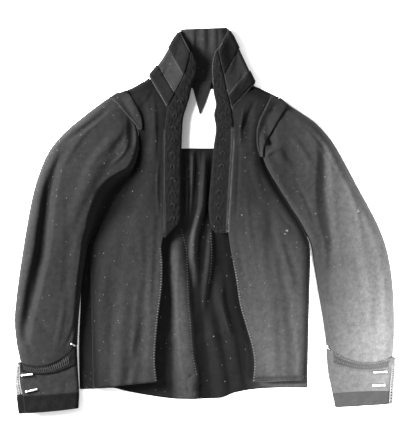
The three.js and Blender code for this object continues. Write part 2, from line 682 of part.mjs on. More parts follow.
function makeYoke() {
  flatCloth("back_yoke", wool, yokeOutline(0), 0, CLOTH);
  flatCloth("yoke_lining", linen, yokeOutline(9), CLOTH + GAP, LINING);
  const point = [
    new THREE.Vector2(-14, 222),
    new THREE.Vector2(-7, 196),
    new THREE.Vector2(-0.5, 170),
    new THREE.Vector2(1, 170),
    new THREE.Vector2(10, 192),
    new THREE.Vector2(19, 220),
  ];
  flatCloth("neck_facing", wool, point, CLOTH + LINING + 2 * GAP, TRIM);
}

function makeSkirt() {
  const hem = curve(SKIRT_HEM, "x", "y");
  const pleat = folding(SKIRT_PLEATS, "y", "x", broad);
  const guides = [...SKIRT_GUIDES].reverse();
  const guideCurves = ["a", "b", "c", "d", "e", "f"].map((name) => curve(guides, "y", name));
  const steps = 18;
  const bottom = [];
  for (let i = 0; i <= steps; i++) {
    const v = i / steps;
    const level = mix(SEAM_Y, -270, v);
    const half = bodySide(level) - 0.2;
    const stops = [-half, ...guideCurves.map((guide) => guide(mix(SEAM_Y, -288, v))), half];
    const xs = [-half];
    SKIRT_COLUMNS.forEach((count, part) => {
      for (let k = 1; k <= count; k++) xs.push(mix(stops[part], stops[part + 1], k / count));
    });
    bottom.push(
      xs.map((x) => {
        const y = mix(SEAM_Y, hem(x), v);
        return new THREE.Vector3(x, y, pleat(y, (centre) => x - centre));
      }),
    );
  }
  const top = bottom.map((row) => row.map((p) => p.clone().setZ(p.z + CLOTH + 0.2 * p.z / 13)));
  return wall("back_skirt", wool, top, bottom);
}

// Fronts.

function makeFront(name, side, rows, folds) {
  const row = curves(rows);
  const fold = folding(folds, "y", "x");
  const grid = domedGrid({
    first: (t) => {
      const y = row.sideY(t);
      return new THREE.Vector3(side * (bodySide(y) - 0.3), y, edgeLevel(y));
    },
    second: (t) => new THREE.Vector3(side * row.edgeX(t), row.edgeY(t), 0),
    height: row.height,
    sag: row.sag,
    levels: rows.length - 1,
    steps: Math.round((rows.length - 1) * 1.25),
    roll: BODY_ROLL,
    endRoll: 0,
    columns: 12,
    fold: (t, d, width, a, b) => {
      const x = mix(a.x, b.x, d / width) * side;
      return fold(mix(a.y, b.y, d / width), (centre) => x - centre);
    },
  });
  return wall(name, wool, grid, moved(grid, -CLOTH * facing(grid), UPPER));
}

// Sleeves.

function sleeveEdges(side, rows, spread) {
  const row = curves(rows);
  const off = curve(spread, "y", "x");
  return {
    row,
    outer: (t) => new THREE.Vector3(side * row.x(t), row.y(t), UPPER),
    inner: (t) => {
      const y = row.innerY(t);
      return new THREE.Vector3(side * (bodySide(y) + 0.7 + off(y)), y, edgeLevel(y));
    },
  };
}

function makeSleeve(name, side, rows, spread, folds) {
  const { row, outer, inner } = sleeveEdges(side, rows, spread);
  const fold = folding(folds, "at", "share");
  const levels = rows.length - 1;
  const grid = domedGrid({
    first: outer,
    second: inner,
    height: row.height,
    sag: row.sag,
    levels,
    steps: Math.round(levels * 1.3),
    roll: SLEEVE_ROLL,
    endRoll: INNER_ROLL,
    columns: 12,
    fold: (t, d, width) => fold(t, (share) => d - share * width),
  });
  wall(name + "_upper", wool, grid, moved(grid, -CLOTH * facing(grid), UPPER));

  const outline = [];
  const count = levels * 2;
  for (let i = 0; i <= count; i++) outline.push(outer((i / count) * levels));
  const a = outer(levels);
  const b = inner(levels);
  for (let k = 1; k < 6; k++) {
    const u = k / 6;
    outline.push(new THREE.Vector3(mix(a.x, b.x, u), mix(a.y, b.y, u) - row.sag(levels) * 4 * u * (1 - u), 0));
  }
  for (let i = count; i >= 0; i--) outline.push(inner((i / count) * levels));
  flatCloth(name + "_under", wool, outline.map((p) => new THREE.Vector2(p.x, p.y)), 0, CLOTH);
}

// Shoulder wings: they rest on the front and the sleeve.
function makeWing(name, rows, support) {
  const row = curves(rows);
  const steps = (rows.length - 1) * 2;
  const columns = 4;
  const bottom = [];
  for (let i = 0; i <= steps; i++) {
    const t = (i / steps) * (rows.length - 1);
    const line = [];
    for (let k = 0; k <= columns; k++) {
      const x = mix(row.innerX(t), row.outerX(t), k / columns);
      const y = mix(row.innerY(t), row.outerY(t), k / columns);
      line.push(new THREE.Vector3(x, y, topNear(support, x, y, 4.5) + GAP));
    }
    bottom.push(line);
  }
  const smooth = bottom.map((line, i) =>
    line.map((p, k) => {
      const around = [bottom[i - 1]?.[k], bottom[i + 1]?.[k], line[k - 1], line[k + 1]].filter(Boolean);
      const mean = around.reduce((sum, q) => sum + q.z, 0) / around.length;
      return p.clone().setZ(Math.max(p.z, (p.z + mean) / 2));
    }),
  );
  const top = smooth.map((line) => line.map((p) => p.clone().setZ(p.z + CLOTH)));
  return wall(name, wool, top, smooth);
}

// Front bands.

function makeBand(name, rows) {
  const row = curves(rows);
  const steps = (rows.length - 1) * 2;
  const columns = 3;
  const top = [];
  for (let i = 0; i <= steps; i++) {
    const t = (i / steps) * (rows.length - 1);
    const line = [];
    for (let k = 0; k <= columns; k++) {
      const u = k / columns;
      const x = mix(row.outerX(t), row.innerX(t), u);
      const y = mix(row.outerY(t), row.innerY(t), u);
      line.push(new THREE.Vector3(x, y, row.z(t) - BAND_DROP * u * u));
    }
    top.push(line);
  }
  const bottom = top.map((line) => line.map((p) => p.clone().setZ(p.z - VELVET)));
  return wall(name, velvet, top, bottom);
}

// One bent wire, lying on the band: an open loop for an eye, a narrower one for a hook.
function makeFasteners(kind, rows, band, halfWidth, depth) {
  const sorted = [...rows].sort((a, b) => a.outerY - b.outerY);
  const middle = sorted.map((r) => ({ x: (r.outerX + r.innerX) / 2, y: (r.outerY + r.innerY) / 2 }));
  const centre = curve(middle, "y", "x");
  for (let n = 0; n < FASTENER_COUNT; n++) {
    const y = FASTENER_FIRST_Y + n * FASTENER_PITCH;
    const x = centre(y);
    const z = topNear([band], x, y, halfWidth + 1) + 1;
    const path = new THREE.CatmullRomCurve3([
      new THREE.Vector3(x - halfWidth, y - depth, z),
      new THREE.Vector3(x - halfWidth * 0.8, y + depth * 0.5, z + 0.2),
      new THREE.Vector3(x, y + depth, z + 0.5),
      new THREE.Vector3(x + halfWidth * 0.8, y + depth * 0.5, z + 0.2),
      new THREE.Vector3(x + halfWidth, y - depth, z),
    ]);
    const section = new THREE.Shape([
      new THREE.Vector2(-0.6, -0.6),
      new THREE.Vector2(0.6, -0.6),
      new THREE.Vector2(0.6, 0.6),
      new THREE.Vector2(-0.6, 0.6),
    ]);
    const geometry = new THREE.ExtrudeGeometry(section, { steps: 6, extrudePath: path });
    add(kind + "_" + (n + 1), geometry, metal);
  }
}

// Collar: one wall from the left wing's front edge, round both side folds, to the right wing's.

function collarLine(at) {
  const row = Object.fromEntries(
    Object.keys(COLLAR[0])
      .filter((name) => name !== "at")
      .map((name) => [name, curve(COLLAR, "at", name)(at)]),
  );
  const front = mix(17.5, 22, at);
  const wing = (edge, fold) => {
    const inward = edge.clone().sub(fold).normalize();
    const start = fold.clone().addScaledVector(inward, COLLAR_FOLD);
    const flat = [];
    for (let k = 0; k <= 5; k++) {
      const p = edge.clone().lerp(start, k / 5);
      const z = mix(front, 2 * COLLAR_FOLD, smoothStep(k / 5));
      flat.push(new THREE.Vector3(p.x, p.y, z));
    }
    const bend = [];
    for (let k = 1; k < 4; k++) {
      const angle = (k / 4) * Math.PI;
      const p = start.clone().addScaledVector(inward, -COLLAR_FOLD * Math.sin(angle));
      bend.push(new THREE.Vector3(p.x, p.y, COLLAR_FOLD * (1 + Math.cos(angle))));
    }
    return { flat, bend, start };
  };
  const left = wing(new THREE.Vector2(row.leftX, row.leftY), new THREE.Vector2(row.leftFoldX, row.leftFoldY));
  const right = wing(new THREE.Vector2(row.rightX, row.rightY), new THREE.Vector2(row.rightFoldX, row.rightFoldY));
  const backColumns = 16;
  const back = [];
  for (let k = 0; k <= backColumns; k++) {
    const f = k / backColumns;
    const p = left.start.clone().lerp(right.start, f);
    p.y += COLLAR_BACK_RISE * smoothStep((at - 0.6) / 0.4) * smoothStep(Math.min(f, 1 - f) / 0.15);
    const rise = COLLAR_PUCKERS.reduce((sum, pucker) => sum + pucker.rise * bump((p.x - pucker.x) / pucker.half), 0);
    back.push(new THREE.Vector3(p.x, p.y, rise * smoothStep((at - 0.35) / 0.5)));
  }
  return {
    line: [...left.flat, ...left.bend, ...back, ...right.bend.reverse(), ...right.flat.reverse()],
    wingLength: left.flat.length + left.bend.length,
  };
}

function makeCollar() {
  const lines = COLLAR_LEVELS.map((at) => collarLine(at));
  const outer = lines.map(({ line }) => line);
  const away = Math.sign(gridNormals(outer)[1][2].z);
  const collar = wall("collar", wool, outer, moved(outer, -CLOTH * away));
  const trim = (name, [low, high], from, to) => {
    const over = moved(outer, away * (GAP + TRIM)).slice(low, high + 1).map((row) => row.slice(from, to));
    const under = moved(outer, away * GAP).slice(low, high + 1).map((row) => row.slice(from, to));
    wall(name, velvet, over, under);
  };
  const wing = lines[0].wingLength - 2;
  const end = outer[0].length;
  trim("collar_trim_low_left", COLLAR_LOW_TRIM, 0, wing);
  trim("collar_trim_top_left", COLLAR_TOP_TRIM, 0, wing);
  trim("collar_trim_low_right", COLLAR_LOW_TRIM, end - wing, end);
  trim("collar_trim_top_right", COLLAR_TOP_TRIM, end - wing, end);
  return collar;
}

// Cuffs: one wall from the slit's edge over the top, round the inner seam and back beneath.

// A cuff's outline across the arm at one level. Proud thickens it, depth moves it into the cloth.
function cuffLine(rows, at, proud, depth) {
  const row = Object.fromEntries(
    Object.keys(rows[0])
      .filter((name) => name !== "at")
      .map((name) => [name, curve(rows, "at", name)(at)]),
  );
  const width = Math.hypot(row.foldX - row.slitX, row.foldY - row.slitY);
  const beneath = Math.hypot(row.underX - row.slitX, row.underY - row.slitY) / width;
  const high = row.height + proud;
  const radius = high / 2;
  const place = (u, z) =>
    new THREE.Vector3(
      mix(row.slitX, row.foldX, u),
      mix(row.slitY, row.foldY, u) - row.sag * 4 * Math.max(u, 0) * (1 - u),
      z,
    );
  const start = 1 - radius / width;
  const line = [];
  const topColumns = 8;
  for (let k = 0; k <= topColumns; k++) {
    const crown = 1.5 * Math.sin((Math.PI * k) / topColumns);
    line.push(place((start * k) / topColumns, high - depth + crown));
  }
  for (let k = 1; k < 4; k++) {
    const angle = (k / 4) * Math.PI;
    const reach = radius - depth;
    line.push(place(start + (reach * Math.sin(angle)) / width, radius + reach * Math.cos(angle)));
  }
  const underColumns = 6;
  for (let k = 0; k <= underColumns; k++) line.push(place(mix(start, -beneath, k / underColumns), depth));
  return line;
}

const CUFF_TRIM_COLUMNS = 10; // as far round the fold as the trim goes

function makeCuff(side, rows) {
  const lines = (levels, proud, depth) => levels.map((at) => cuffLine(rows, at, proud, depth));
  const cuff = wall("cuff_" + side, wool, lines(CUFF_LEVELS, 0, 0), lines(CUFF_LEVELS, 0, CLOTH));
  const part = (depth) =>
    lines(CUFF_LEVELS.slice(0, CUFF_TRIM_ROWS + 1), 0, depth).map((line) => line.slice(0, CUFF_TRIM_COLUMNS));
  const trim = wall("cuff_trim_" + side, velvet, part(-GAP - TRIM), part(-GAP));
  wall("cuff_hem_" + side, velvet, lines(HEM_LEVELS, 1, 0), lines(HEM_LEVELS, 1, CLOTH + 0.2));
  return [cuff, trim];
}

// A cast bar with a knob at one end, lying on the cuff.
function makeBar({ name, x, y, endX, endY, radius }, support) {
  const length = Math.hypot(endX - x, endY - y);
  const knob = radius * 1.35;
  const outline = [
    [0, 0],
    [knob * 0.8, knob * 0.35],
    [knob, knob],
    [knob * 0.75, knob * 1.8],
    [radius, knob * 2.3],
    [radius, length - radius * 0.5],
    [radius * 0.6, length],
    [0, length],
  ].map(([r, h]) => new THREE.Vector2(r, h));
  const geometry = new THREE.LatheGeometry(outline, 8);
  const needed = [0, 0.12, 0.3, 0.5, 0.7, 0.85, 1].map((f) => {
    const own = f < 0.2 ? knob : radius;
    return { f, z: topNear(support, mix(x, endX, f), mix(y, endY, f), own * 0.6) + own + 0.2 };
  }).filter(({ z }) => Number.isFinite(z));
  const from = needed[0].z;
  const to = needed[needed.length - 1].z;
  const lift = Math.max(...needed.map(({ f, z }) => z - mix(from, to, f)));
  const start = new THREE.Vector3(x, y, from + lift);
  const direction = new THREE.Vector3(endX, endY, to + lift).sub(start).normalize();
  geometry.applyQuaternion(new THREE.Quaternion().setFromUnitVectors(new THREE.Vector3(0, 1, 0), direction));
  geometry.translate(start.x, start.y, start.z);
  add(name, geometry, metal);
}

// Scalloped lace lying along a cuff's slit.
function makeLace(name, rows, side) {
  const middle = new THREE.CatmullRomCurve3(rows.map((r) => new THREE.Vector3(r.x, r.y, 0)));
  const count = 28;
  const inner = [];
  const outer = [];
  for (let i = 0; i <= count; i++) {
    const p = middle.getPoint(i / count);
    const along = middle.getTangent(i / count);
    const away = new THREE.Vector2(-along.y, along.x).multiplyScalar(-side * Math.sign(along.y || 1));
    const scallop = 4.2 + 1.3 * Math.abs(Math.sin((i / count) * Math.PI * 7));
    outer.push(new THREE.Vector2(p.x, p.y).addScaledVector(away, scallop));
    inner.push(new THREE.Vector2(p.x, p.y).addScaledVector(away, -3));
  }
  flatCloth(name, lace, [...outer, ...inner.reverse()], UPPER + 0.15, TRIM);
}

// Assembly.

makeYoke();
makeSkirt();
const frontLeft = makeFront("front_left", -1, FRONT_LEFT, FRONT_FOLDS_LEFT);
const frontRight = makeFront("front_right", 1, FRONT_RIGHT, FRONT_FOLDS_RIGHT);
makeSleeve("sleeve_left", -1, SLEEVE_LEFT, SPREAD_LEFT, SLEEVE_FOLDS_LEFT);
makeSleeve("sleeve_right", 1, SLEEVE_RIGHT, SPREAD_RIGHT, SLEEVE_FOLDS_RIGHT);
const named = (name) => jacket.children.find((mesh) => mesh.name === name);
makeWing("shoulder_wing_left", WING_LEFT, [frontLeft, named("sleeve_left_upper")]);
makeWing("shoulder_wing_right", WING_RIGHT, [frontRight, named("sleeve_right_upper")]);
makeCollar();
const bandLeft = makeBand("front_band_left", BAND_LEFT);
const bandRight = makeBand("front_band_right", BAND_RIGHT);
makeFasteners("hook", BAND_LEFT, bandLeft, 3.2, 2.6);
makeFasteners("eye", BAND_RIGHT, bandRight, 4, 2.2);
const leftCuff = makeCuff("left", CUFF_LEFT);
const rightCuff = makeCuff("right", CUFF_RIGHT);
CUFF_BARS.forEach((bar) => makeBar(bar, [...leftCuff, ...rightCuff, named("sleeve_left_upper"), named("sleeve_right_upper")]));
makeLace("cuff_lace_left", LACE_LEFT, -1);
makeLace("cuff_lace_right", LACE_RIGHT, 1);

// The origin is the middle of the jacket's outline, on the surface it lies on.
const bounds = new THREE.Box3().setFromObject(jacket);
jacket.position.set(-(bounds.min.x + bounds.max.x) / 2, -(bounds.min.y + bounds.max.y) / 2, -bounds.min.z);

export default jacket;
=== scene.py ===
"""A short, high-necked folk jacket of fulled wool, laid open on its back.

Every cloth piece is a thin shell on the line of the solid that it stands for. Sizes are in
millimetres from the middle of the back, +X to the jacket's right-hand side as seen from above,
+Y to the collar and +Z up from the surface that it lies on. to_frame turns them into the frame's
metres. Half widths on both sides grow outwards from the centre line.
"""

import math

import bpy
import numpy as np
from mathutils import Matrix, Vector
from mathutils.bvhtree import BVHTree


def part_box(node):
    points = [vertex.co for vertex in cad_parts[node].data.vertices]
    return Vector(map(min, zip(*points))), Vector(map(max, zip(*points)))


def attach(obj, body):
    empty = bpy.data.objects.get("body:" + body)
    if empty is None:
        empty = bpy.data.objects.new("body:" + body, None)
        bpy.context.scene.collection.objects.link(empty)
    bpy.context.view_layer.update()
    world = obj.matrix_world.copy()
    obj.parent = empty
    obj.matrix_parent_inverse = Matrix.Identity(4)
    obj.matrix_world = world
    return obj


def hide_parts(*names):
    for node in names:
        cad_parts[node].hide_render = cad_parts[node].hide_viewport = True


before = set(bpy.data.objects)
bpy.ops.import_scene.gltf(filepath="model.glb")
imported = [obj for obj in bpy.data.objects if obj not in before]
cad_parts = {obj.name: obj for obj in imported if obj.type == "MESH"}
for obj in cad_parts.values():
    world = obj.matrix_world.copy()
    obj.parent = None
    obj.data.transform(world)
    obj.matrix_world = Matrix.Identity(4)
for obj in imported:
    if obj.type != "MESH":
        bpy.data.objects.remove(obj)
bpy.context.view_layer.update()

bl_info = {
    "name": "Stand-collar wool jacket",
    "version": (1, 0, 0),
    "blender": (4, 5, 0),
    "location": "3D View > Sidebar > Jacket",
    "description": "A short folk jacket of fulled wool, laid open on its back",
    "category": "Add Mesh",
}

GAP = 0.4  # between pieces at a seam
LINING = 1.2
TRIM = 1.2
LINING_INSET = 9
SLEEVE_ROLL = 17
INNER_ROLL = 9  # at the sleeves' inner edges, next to the body
CROWN = 2.5
CLOTH_WAVES = ((0.35, 46), (0.16, 17))  # rise and size of the soft cloth's unevenness
PLEAT_DROP = 5  # how sharply the broad pleat ends at its seam
SEAM_Y = 114  # where the pleated skirt joins the yoke
SEAM_GAP = 0.8
SKIRT_HEM_Y = -270
SHOULDER_X = 124
SHOULDER_Y = 200
ARMHOLE_Y = 58  # from here up over ARMHOLE_RISE, the side's edge rises to ARMHOLE_LEVEL
ARMHOLE_RISE = 50
ARMHOLE_LEVEL = 12.5
WING_REACH = 3.5  # how far round it a wing's cloth feels for what lies below
WING_SMOOTHINGS = 5
COLLAR_FOLD = 6.5
COLLAR_SWELL = 6  # how far the back part bulges between the folded wings
COLLAR_BACK_RISE = 6  # brings the back's top edge level with the side folds
BAND_DROP = 2.5
FASTENER_PITCH = 20.6
FASTENER_COUNT = 10
FASTENER_FIRST_Y = 4
LEFT, RIGHT = -1, 1


def table(names, *rows):
    """Rows of numbers as named columns."""
    return {name: np.array(column, float) for name, column in zip(names.split(), zip(*rows))}


def tables(names, *groups):
    """Several tables with the same columns."""
    return [table(names, *rows) for rows in groups]


CREASE = "x0 y0 x1 y1 x2 y2 half rise"


# The jacket's cut, as laid out.

BODY_SIDE = table(
    "y x",
    (-290, 171), (-192, 173), (-128, 174.5), (-64, 176), (-36, 174), (-8, 162), (27, 140), (64, 117),
    (88, 104), (110, 98), (135, 98), (160, 105), (180, 115), (203, 130),
)
SIDE_PANEL = table(
    "y share",
    (-290, 0.88), (-150, 0.9), (-115, 0.97), (0, 0.97),
)
ROLL_LEFT = table(
    "y roll",
    (-290, 16), (-140, 18), (-60, 36), (0, 60), (40, 66), (80, 46), (110, 32), (200, 18),
)
ROLL_RIGHT = table(
    "y roll",
    (-290, 16), (200, 16),
)
SPREAD_LEFT = table(
    "y x",
    (-290, 23), (-200, 23), (-128, 17), (-80, 10), (-45, 4), (-15, 0),
)
SPREAD_RIGHT = table(
    "y x",
    (-300, 45), (-258, 38), (-194, 28), (-150, 21), (-112, 14), (-64, 5), (-15, 0),
)
FRONT_LEFT = table(
    "sideY edgeX edgeY height sag",
    (-268, 69, -258, 17, 0), (-232, 72, -226, 18, 0), (-190, 70, -186, 19, 0), (-145, 66, -146, 20, 0),
    (-100, 61, -105, 20, 0), (-60, 60, -70, 20, 0), (-28, 62, -42, 20, 0), (0, 57, -16, 20, 0),
    (28, 57, 16, 19, 0), (58, 58, 50, 19, 0), (85, 58, 84, 18, 0), (110, 58, 116, 18, 0),
    (135, 57, 146, 17, 0), (158, 54.5, 176, 17, 0), (176, 63, 194, 16, 1), (190, 72, 210, 14, 3),
    (199, 79, 222, 9, 5), (203, 82.5, 227, 4.5, 5),
)
FRONT_RIGHT = table(
    "sideY edgeX edgeY height sag",
    (-255, 85, -258, 17, 0), (-230, 87, -228, 18, 0), (-200, 83, -200, 19, 0), (-165, 73, -166, 20, 0),
    (-130, 64, -134, 20, 0), (-95, 59, -100, 20, 0), (-60, 53, -66, 20, 0), (-28, 48, -36, 20, 0),
    (0, 45, -8, 20, 0), (28, 47, 24, 19, 0), (58, 49, 56, 19, 0), (85, 51, 88, 18, 0),
    (110, 53, 118, 18, 0), (135, 54, 148, 17, 0), (158, 52.5, 175, 17, 0), (175, 64, 190, 16, 1),
    (187, 75, 202, 14, 3), (193.5, 83, 211, 9, 5), (196.5, 86.5, 215, 4.5, 5),
)
SLEEVE_LEFT = table(
    "x y innerY height sag",
    (132, 204, 180, 8, 0), (147, 194, 160, 14, 0), (164, 182, 140, 20, 0), (186, 165, 120, 25, 0),
    (208, 147, 100, 29, 0), (228, 127, 81, 31, 0), (244, 104, 60, 32, 0), (256, 76, 37, 31, 0),
    (266, 43, 10, 30, 0), (274, 4, -22, 28, 0), (282, -44, -62, 26, 0), (290, -98, -106, 24, 0),
    (296, -156, -150, 22, 2), (293, -196, -180, 19, 9), (287, -226, -200, 15, 18),
)
SLEEVE_RIGHT = table(
    "x y innerY height sag",
    (128, 195, 178, 8, 0), (146, 181, 158, 14, 0), (163, 170, 138, 20, 0), (184, 155, 118, 25, 0),
    (204, 134, 98, 29, 0), (219, 112, 79, 31, 0), (234, 85, 58, 32, 0), (251, 53, 34, 31, 0),
    (269, 21, 6, 30, 0), (286, -13, -24, 28, 0), (299, -50, -58, 26, 0), (307, -96, -100, 24, 0),
    (310, -144, -145, 22, 2), (310, -188, -180, 19, 8), (308, -218, -203, 15, 16),
)
FRONT_FOLDS_LEFT = tables(
    "y x half rise",
    [(90, 88, 10, 0), (125, 87, 13, -4), (165, 90, 12, -4), (200, 96, 10, 0)],
    [(-268, 130, 16, 3), (-150, 124, 18, 2.5), (-20, 108, 16, 0)],
    [(-268, 98, 14, -2), (-160, 92, 14, -2.5), (30, 86, 12, 0)],
)
FRONT_FOLDS_RIGHT = tables(
    "y x half rise",
    [(110, 76, 10, 0), (150, 74, 12, -3), (195, 84, 10, 0)],
    [(-266, 146, 13, -2), (-140, 140, 13, -3.5), (-20, 118, 12, -1.5), (50, 96, 10, 0)],
    [(-266, 120, 15, 3), (-120, 112, 16, 2.5), (20, 86, 14, 0)],
)
SLEEVE_FOLDS_LEFT = tables(
    "at share half rise",
    [(1, 0.2, 7, 0), (3, 0.18, 8, -4), (5, 0.1, 8, -3), (6, 0.1, 8, 0)],
    [
        (4.6, 0.14, 10, 0), (6, 0.16, 11, -4), (7, 0.18, 13, -8), (8, 0.21, 15, -11), (9, 0.26, 16, -13),
        (10, 0.3, 16, -14), (11, 0.26, 16, -13), (12, 0.2, 14, -9), (13, 0.12, 12, -2),
    ],
    [(1, 0.85, 9, 0), (2.5, 0.86, 12, -6), (4, 0.9, 12, 0)],
    [(3, 0.62, 16, 0), (5, 0.6, 18, 4), (8, 0.62, 18, 3), (10, 0.62, 16, 0)],
    [
        (4.3, 0.99, 6, 0), (5, 0.99, 8, -12), (6, 0.965, 22, -27), (7, 0.95, 28, -28), (8, 0.96, 22, -27),
        (9, 0.98, 13, -21), (10, 1, 8, -10), (11, 1, 8, 0),
    ],
)
SLEEVE_FOLDS_RIGHT = tables(
    "at share half rise",
    [
        (4, 0.12, 12, 0), (5, 0.2, 13, -4), (6, 0.33, 14, -7), (7, 0.47, 15, -8), (8, 0.6, 15, -8),
        (9, 0.7, 14, -6), (11, 0.76, 12, 0),
    ],
    [(1, 0.83, 14, 0), (2.4, 0.83, 15, -7), (3.8, 0.84, 14, 0)],
    [(3.2, 0.72, 12, 0), (4.3, 0.76, 12, 4), (5.4, 0.68, 12, 0)],
    [(8, 0.3, 16, 0), (11, 0.32, 18, 3), (14, 0.35, 16, 0)],
)
SKIRT_PLEATS = tables(
    "y x half rise",
    [
        (-290, -17, 27, 7), (-250, -19, 27, 9.5), (-200, -23, 24, 11), (-160, -26, 22, 11.5),
        (-128, -29, 20, 11.5), (-80, -36, 19, 10.5), (-45, -38, 15, 8), (-12, -35, 10, 0),
    ],
    [
        (-115, -7, 8, 0), (-88, -8, 8, 4), (-56, -11, 8, 8), (-24, -9, 8, 9.5), (0, -3, 8, 9.5),
        (24, 3, 8, 9.5), (56, 5, 8, 8.5), (88, 7, 7, 6), (110, 8, 6, 1),
    ],
    [
        (-150, 4, 7, 0), (-120, 7, 7, 5), (-88, 11, 7, 8), (-61, 14, 7, 8.5), (-32, 16, 6, 6),
        (0, 18, 6, 0),
    ],
    [(-290, 62, 14, 2), (-208, 51, 13, 3.5), (-168, 42, 12, 4.5), (-128, 32, 12, 5), (-70, 28, 10, 0)],
    [(-290, 34, 16, 4), (-224, 26, 14, 4.5), (-176, 17, 11, 5), (-140, 12, 9, 0)],
    [(-20, -22, 8, 0), (32, -18, 8, 3), (96, -14, 8, 3.5), (112, -13, 8, 1.5)],
)
SKIRT_HEM = table(
    "x y",
    (-172, -270), (-139, -268), (-118, -273), (-80, -280), (-40, -285), (8, -285), (36, -283),
    (57, -275), (99, -269), (172, -268),
)
COLLAR = table(
    "at leftX leftY leftFoldX leftFoldY rightFoldX rightFoldY rightX rightY",
    (0, -52.5, 181, -82, 230.5, 88.5, 219, 51.5, 180), (0.33, -39, 207, -65, 251, 77, 243, 45, 203),
    (0.63, -26, 233, -50, 275, 62, 275, 39, 232), (1, -16, 269, -34, 304, 47, 307, 30, 271),
)
COLLAR_PUCKERS = table(
    "x half rise",
    (-12, 7, 1.6), (6, 8, 2.2), (23, 7, 1.8),
)
BAND_LEFT = table(
    "outerX outerY innerX innerY z",
    (-56, -28, -34, -5, 20.4), (-56, -14, -31.5, 4, 20.6), (-56, 16, -31, 20, 20),
    (-57, 50, -31, 50, 19.8), (-57, 84, -30.5, 84, 19.2), (-57, 116, -30, 114, 19),
    (-56, 146, -29, 142, 18.6), (-53.4, 172, -27, 164, 18.4), (-47.4, 188, -22, 181, 18.8),
    (-39, 204, -17, 197, 19.4), (-31, 219, -14, 212, 20.2), (-24.6, 233, -7, 230, 21),
    (-19, 251, -5, 242, 22), (-14.4, 268, -6, 254, 23),
)
BAND_RIGHT = table(
    "outerX outerY innerX innerY z",
    (44, -20, 24, -19, 20.4), (44, -8, 17.5, -8, 20.6), (45.8, 24, 14.5, 20, 20),
    (47.8, 56, 17, 56, 19.8), (49.8, 88, 20, 88, 19.2), (51.8, 118, 22.5, 118, 19),
    (52.6, 148, 26, 146, 18.6), (51, 171, 23, 168, 18.4), (47.6, 188, 26, 184, 18.8),
    (43.4, 204, 23, 200, 19.4), (40.2, 218, 21, 215, 20.2), (37.4, 232, 20, 231, 21),
    (32.6, 252, 20, 247, 22), (28.4, 270, 21.5, 260, 23),
)
WING_LEFT = table(
    "innerX innerY outerX outerY",
    (-118, 207, -144, 196), (-108, 193, -133, 187), (-99, 177, -120, 172), (-93, 161, -107, 158),
    (-92, 145, -97, 144),
)
WING_RIGHT = table(
    "innerX innerY outerX outerY",
    (114, 199, 141, 184), (105, 180, 132, 171), (95, 159, 121, 153), (91, 138, 111, 136),
    (92, 118, 102, 117), (97, 101, 100, 101),
)
CUFF_LEFT = table(
    "at slitX slitY underX underY foldX foldY sag height",
    (0, -287, -227, -292, -228.2, -196.6, -201.1, 18, 14),
    (0.35, -286.5, -248, -294, -248, -195, -240, 8, 13),
    (0.7, -282, -281, -293, -281, -193, -275, 0.5, 12),
    (1, -279, -308, -290, -308, -194, -300, 1, 11.5),
)
CUFF_RIGHT = table(
    "at slitX slitY underX underY foldX foldY sag height",
    (0, 308, -219, 312, -220.4, 202, -204.1, 16, 14), (0.35, 304, -243, 311, -243, 204, -238, 6, 13),
    (0.7, 300, -273, 309, -273, 211.5, -277, -1, 12), (1, 299, -294, 308, -294, 216, -299, 0, 11.5),
)
LACE_LEFT = table(
    "x y",
    (-289, -230), (-291.5, -245), (-290.5, -262), (-287, -279),
)
LACE_RIGHT = table(
    "x y",
    (309, -222), (309.5, -240), (307.5, -262), (306, -292),
)

# Creases: each bends from its start through a middle point to its end, with a half width and a
# rise, or a depth below nought.
FRONT_CREASES_LEFT = table(
    CREASE,
    (-74, 192, -72, 150, -73, 98, 6, 1.8), (-80, 72, -105, 35, -128, 8, 13, -1.8),
    (-104, 34, -115, 0, -122, -34, 12, -1.6), (-66, 20, -70, -60, -76, -140, 8, -1.2),
    (-90, -160, -104, -215, -118, -262, 10, -1.3), (-150, -40, -152, -130, -150, -240, 12, 1.2),
    (-66, 90, -68, 55, -66, 10, 4, 1.1), (-98, 100, -110, 62, -132, 30, 8, 1.4),
    (-96, -20, -92, -70, -98, -130, 9, 1), (-140, 10, -150, -30, -158, -60, 6, -1),
    (-84, 118, -90, 96, -99, 80, 5, 1.2), (-76, 208, -84, 190, -98, 178, 5, -1.2),
)
FRONT_CREASES_RIGHT = table(
    CREASE,
    (112, 32, 113, -40, 110, -112, 14, -1.8), (133, -32, 148, -70, 160, -112, 9, -1.8),
    (118, -10, 135, -60, 150, -130, 8, 1.1), (62, 120, 60, 60, 57, 0, 5, -1.1),
    (60, -20, 70, -90, 90, -160, 9, -1.3), (88, 190, 76, 165, 66, 140, 5, -1.3),
    (120, -150, 128, -200, 130, -250, 12, -1.2), (84, 100, 92, 60, 108, 22, 9, 1.3),
    (74, 40, 80, -20, 92, -80, 7, 1), (146, -150, 156, -200, 158, -250, 8, 1.2),
    (70, 176, 66, 150, 64, 120, 4, 1.1), (128, 8, 142, -8, 156, -18, 5, -1.2),
)
SLEEVE_CREASES_LEFT = table(
    CREASE,
    (-152, 187, -190, 160, -224, 128, 4.5, -2.2), (-116, 150, -130, 120, -160, 95, 9, -2),
    (-128, 138, -160, 110, -190, 60, 10, 1.6), (-206, 30, -210, -50, -214, -130, 12, -1.6),
    (-270, -130, -250, -170, -225, -195, 10, -1.7), (-285, -160, -275, -195, -262, -215, 8, -1.6),
    (-215, -120, -222, -165, -230, -200, 8, 1.4), (-112, 128, -124, 104, -142, 88, 5, 1.6),
    (-160, 160, -190, 130, -214, 90, 7, 1.4), (-240, 96, -246, 40, -252, -20, 5, -1.2),
    (-262, -60, -268, -110, -272, -150, 6, 1.3), (-170, 30, -186, 0, -196, -50, 10, 1.3),
    (-196, -150, -204, -180, -214, -200, 5, -1.4),
)
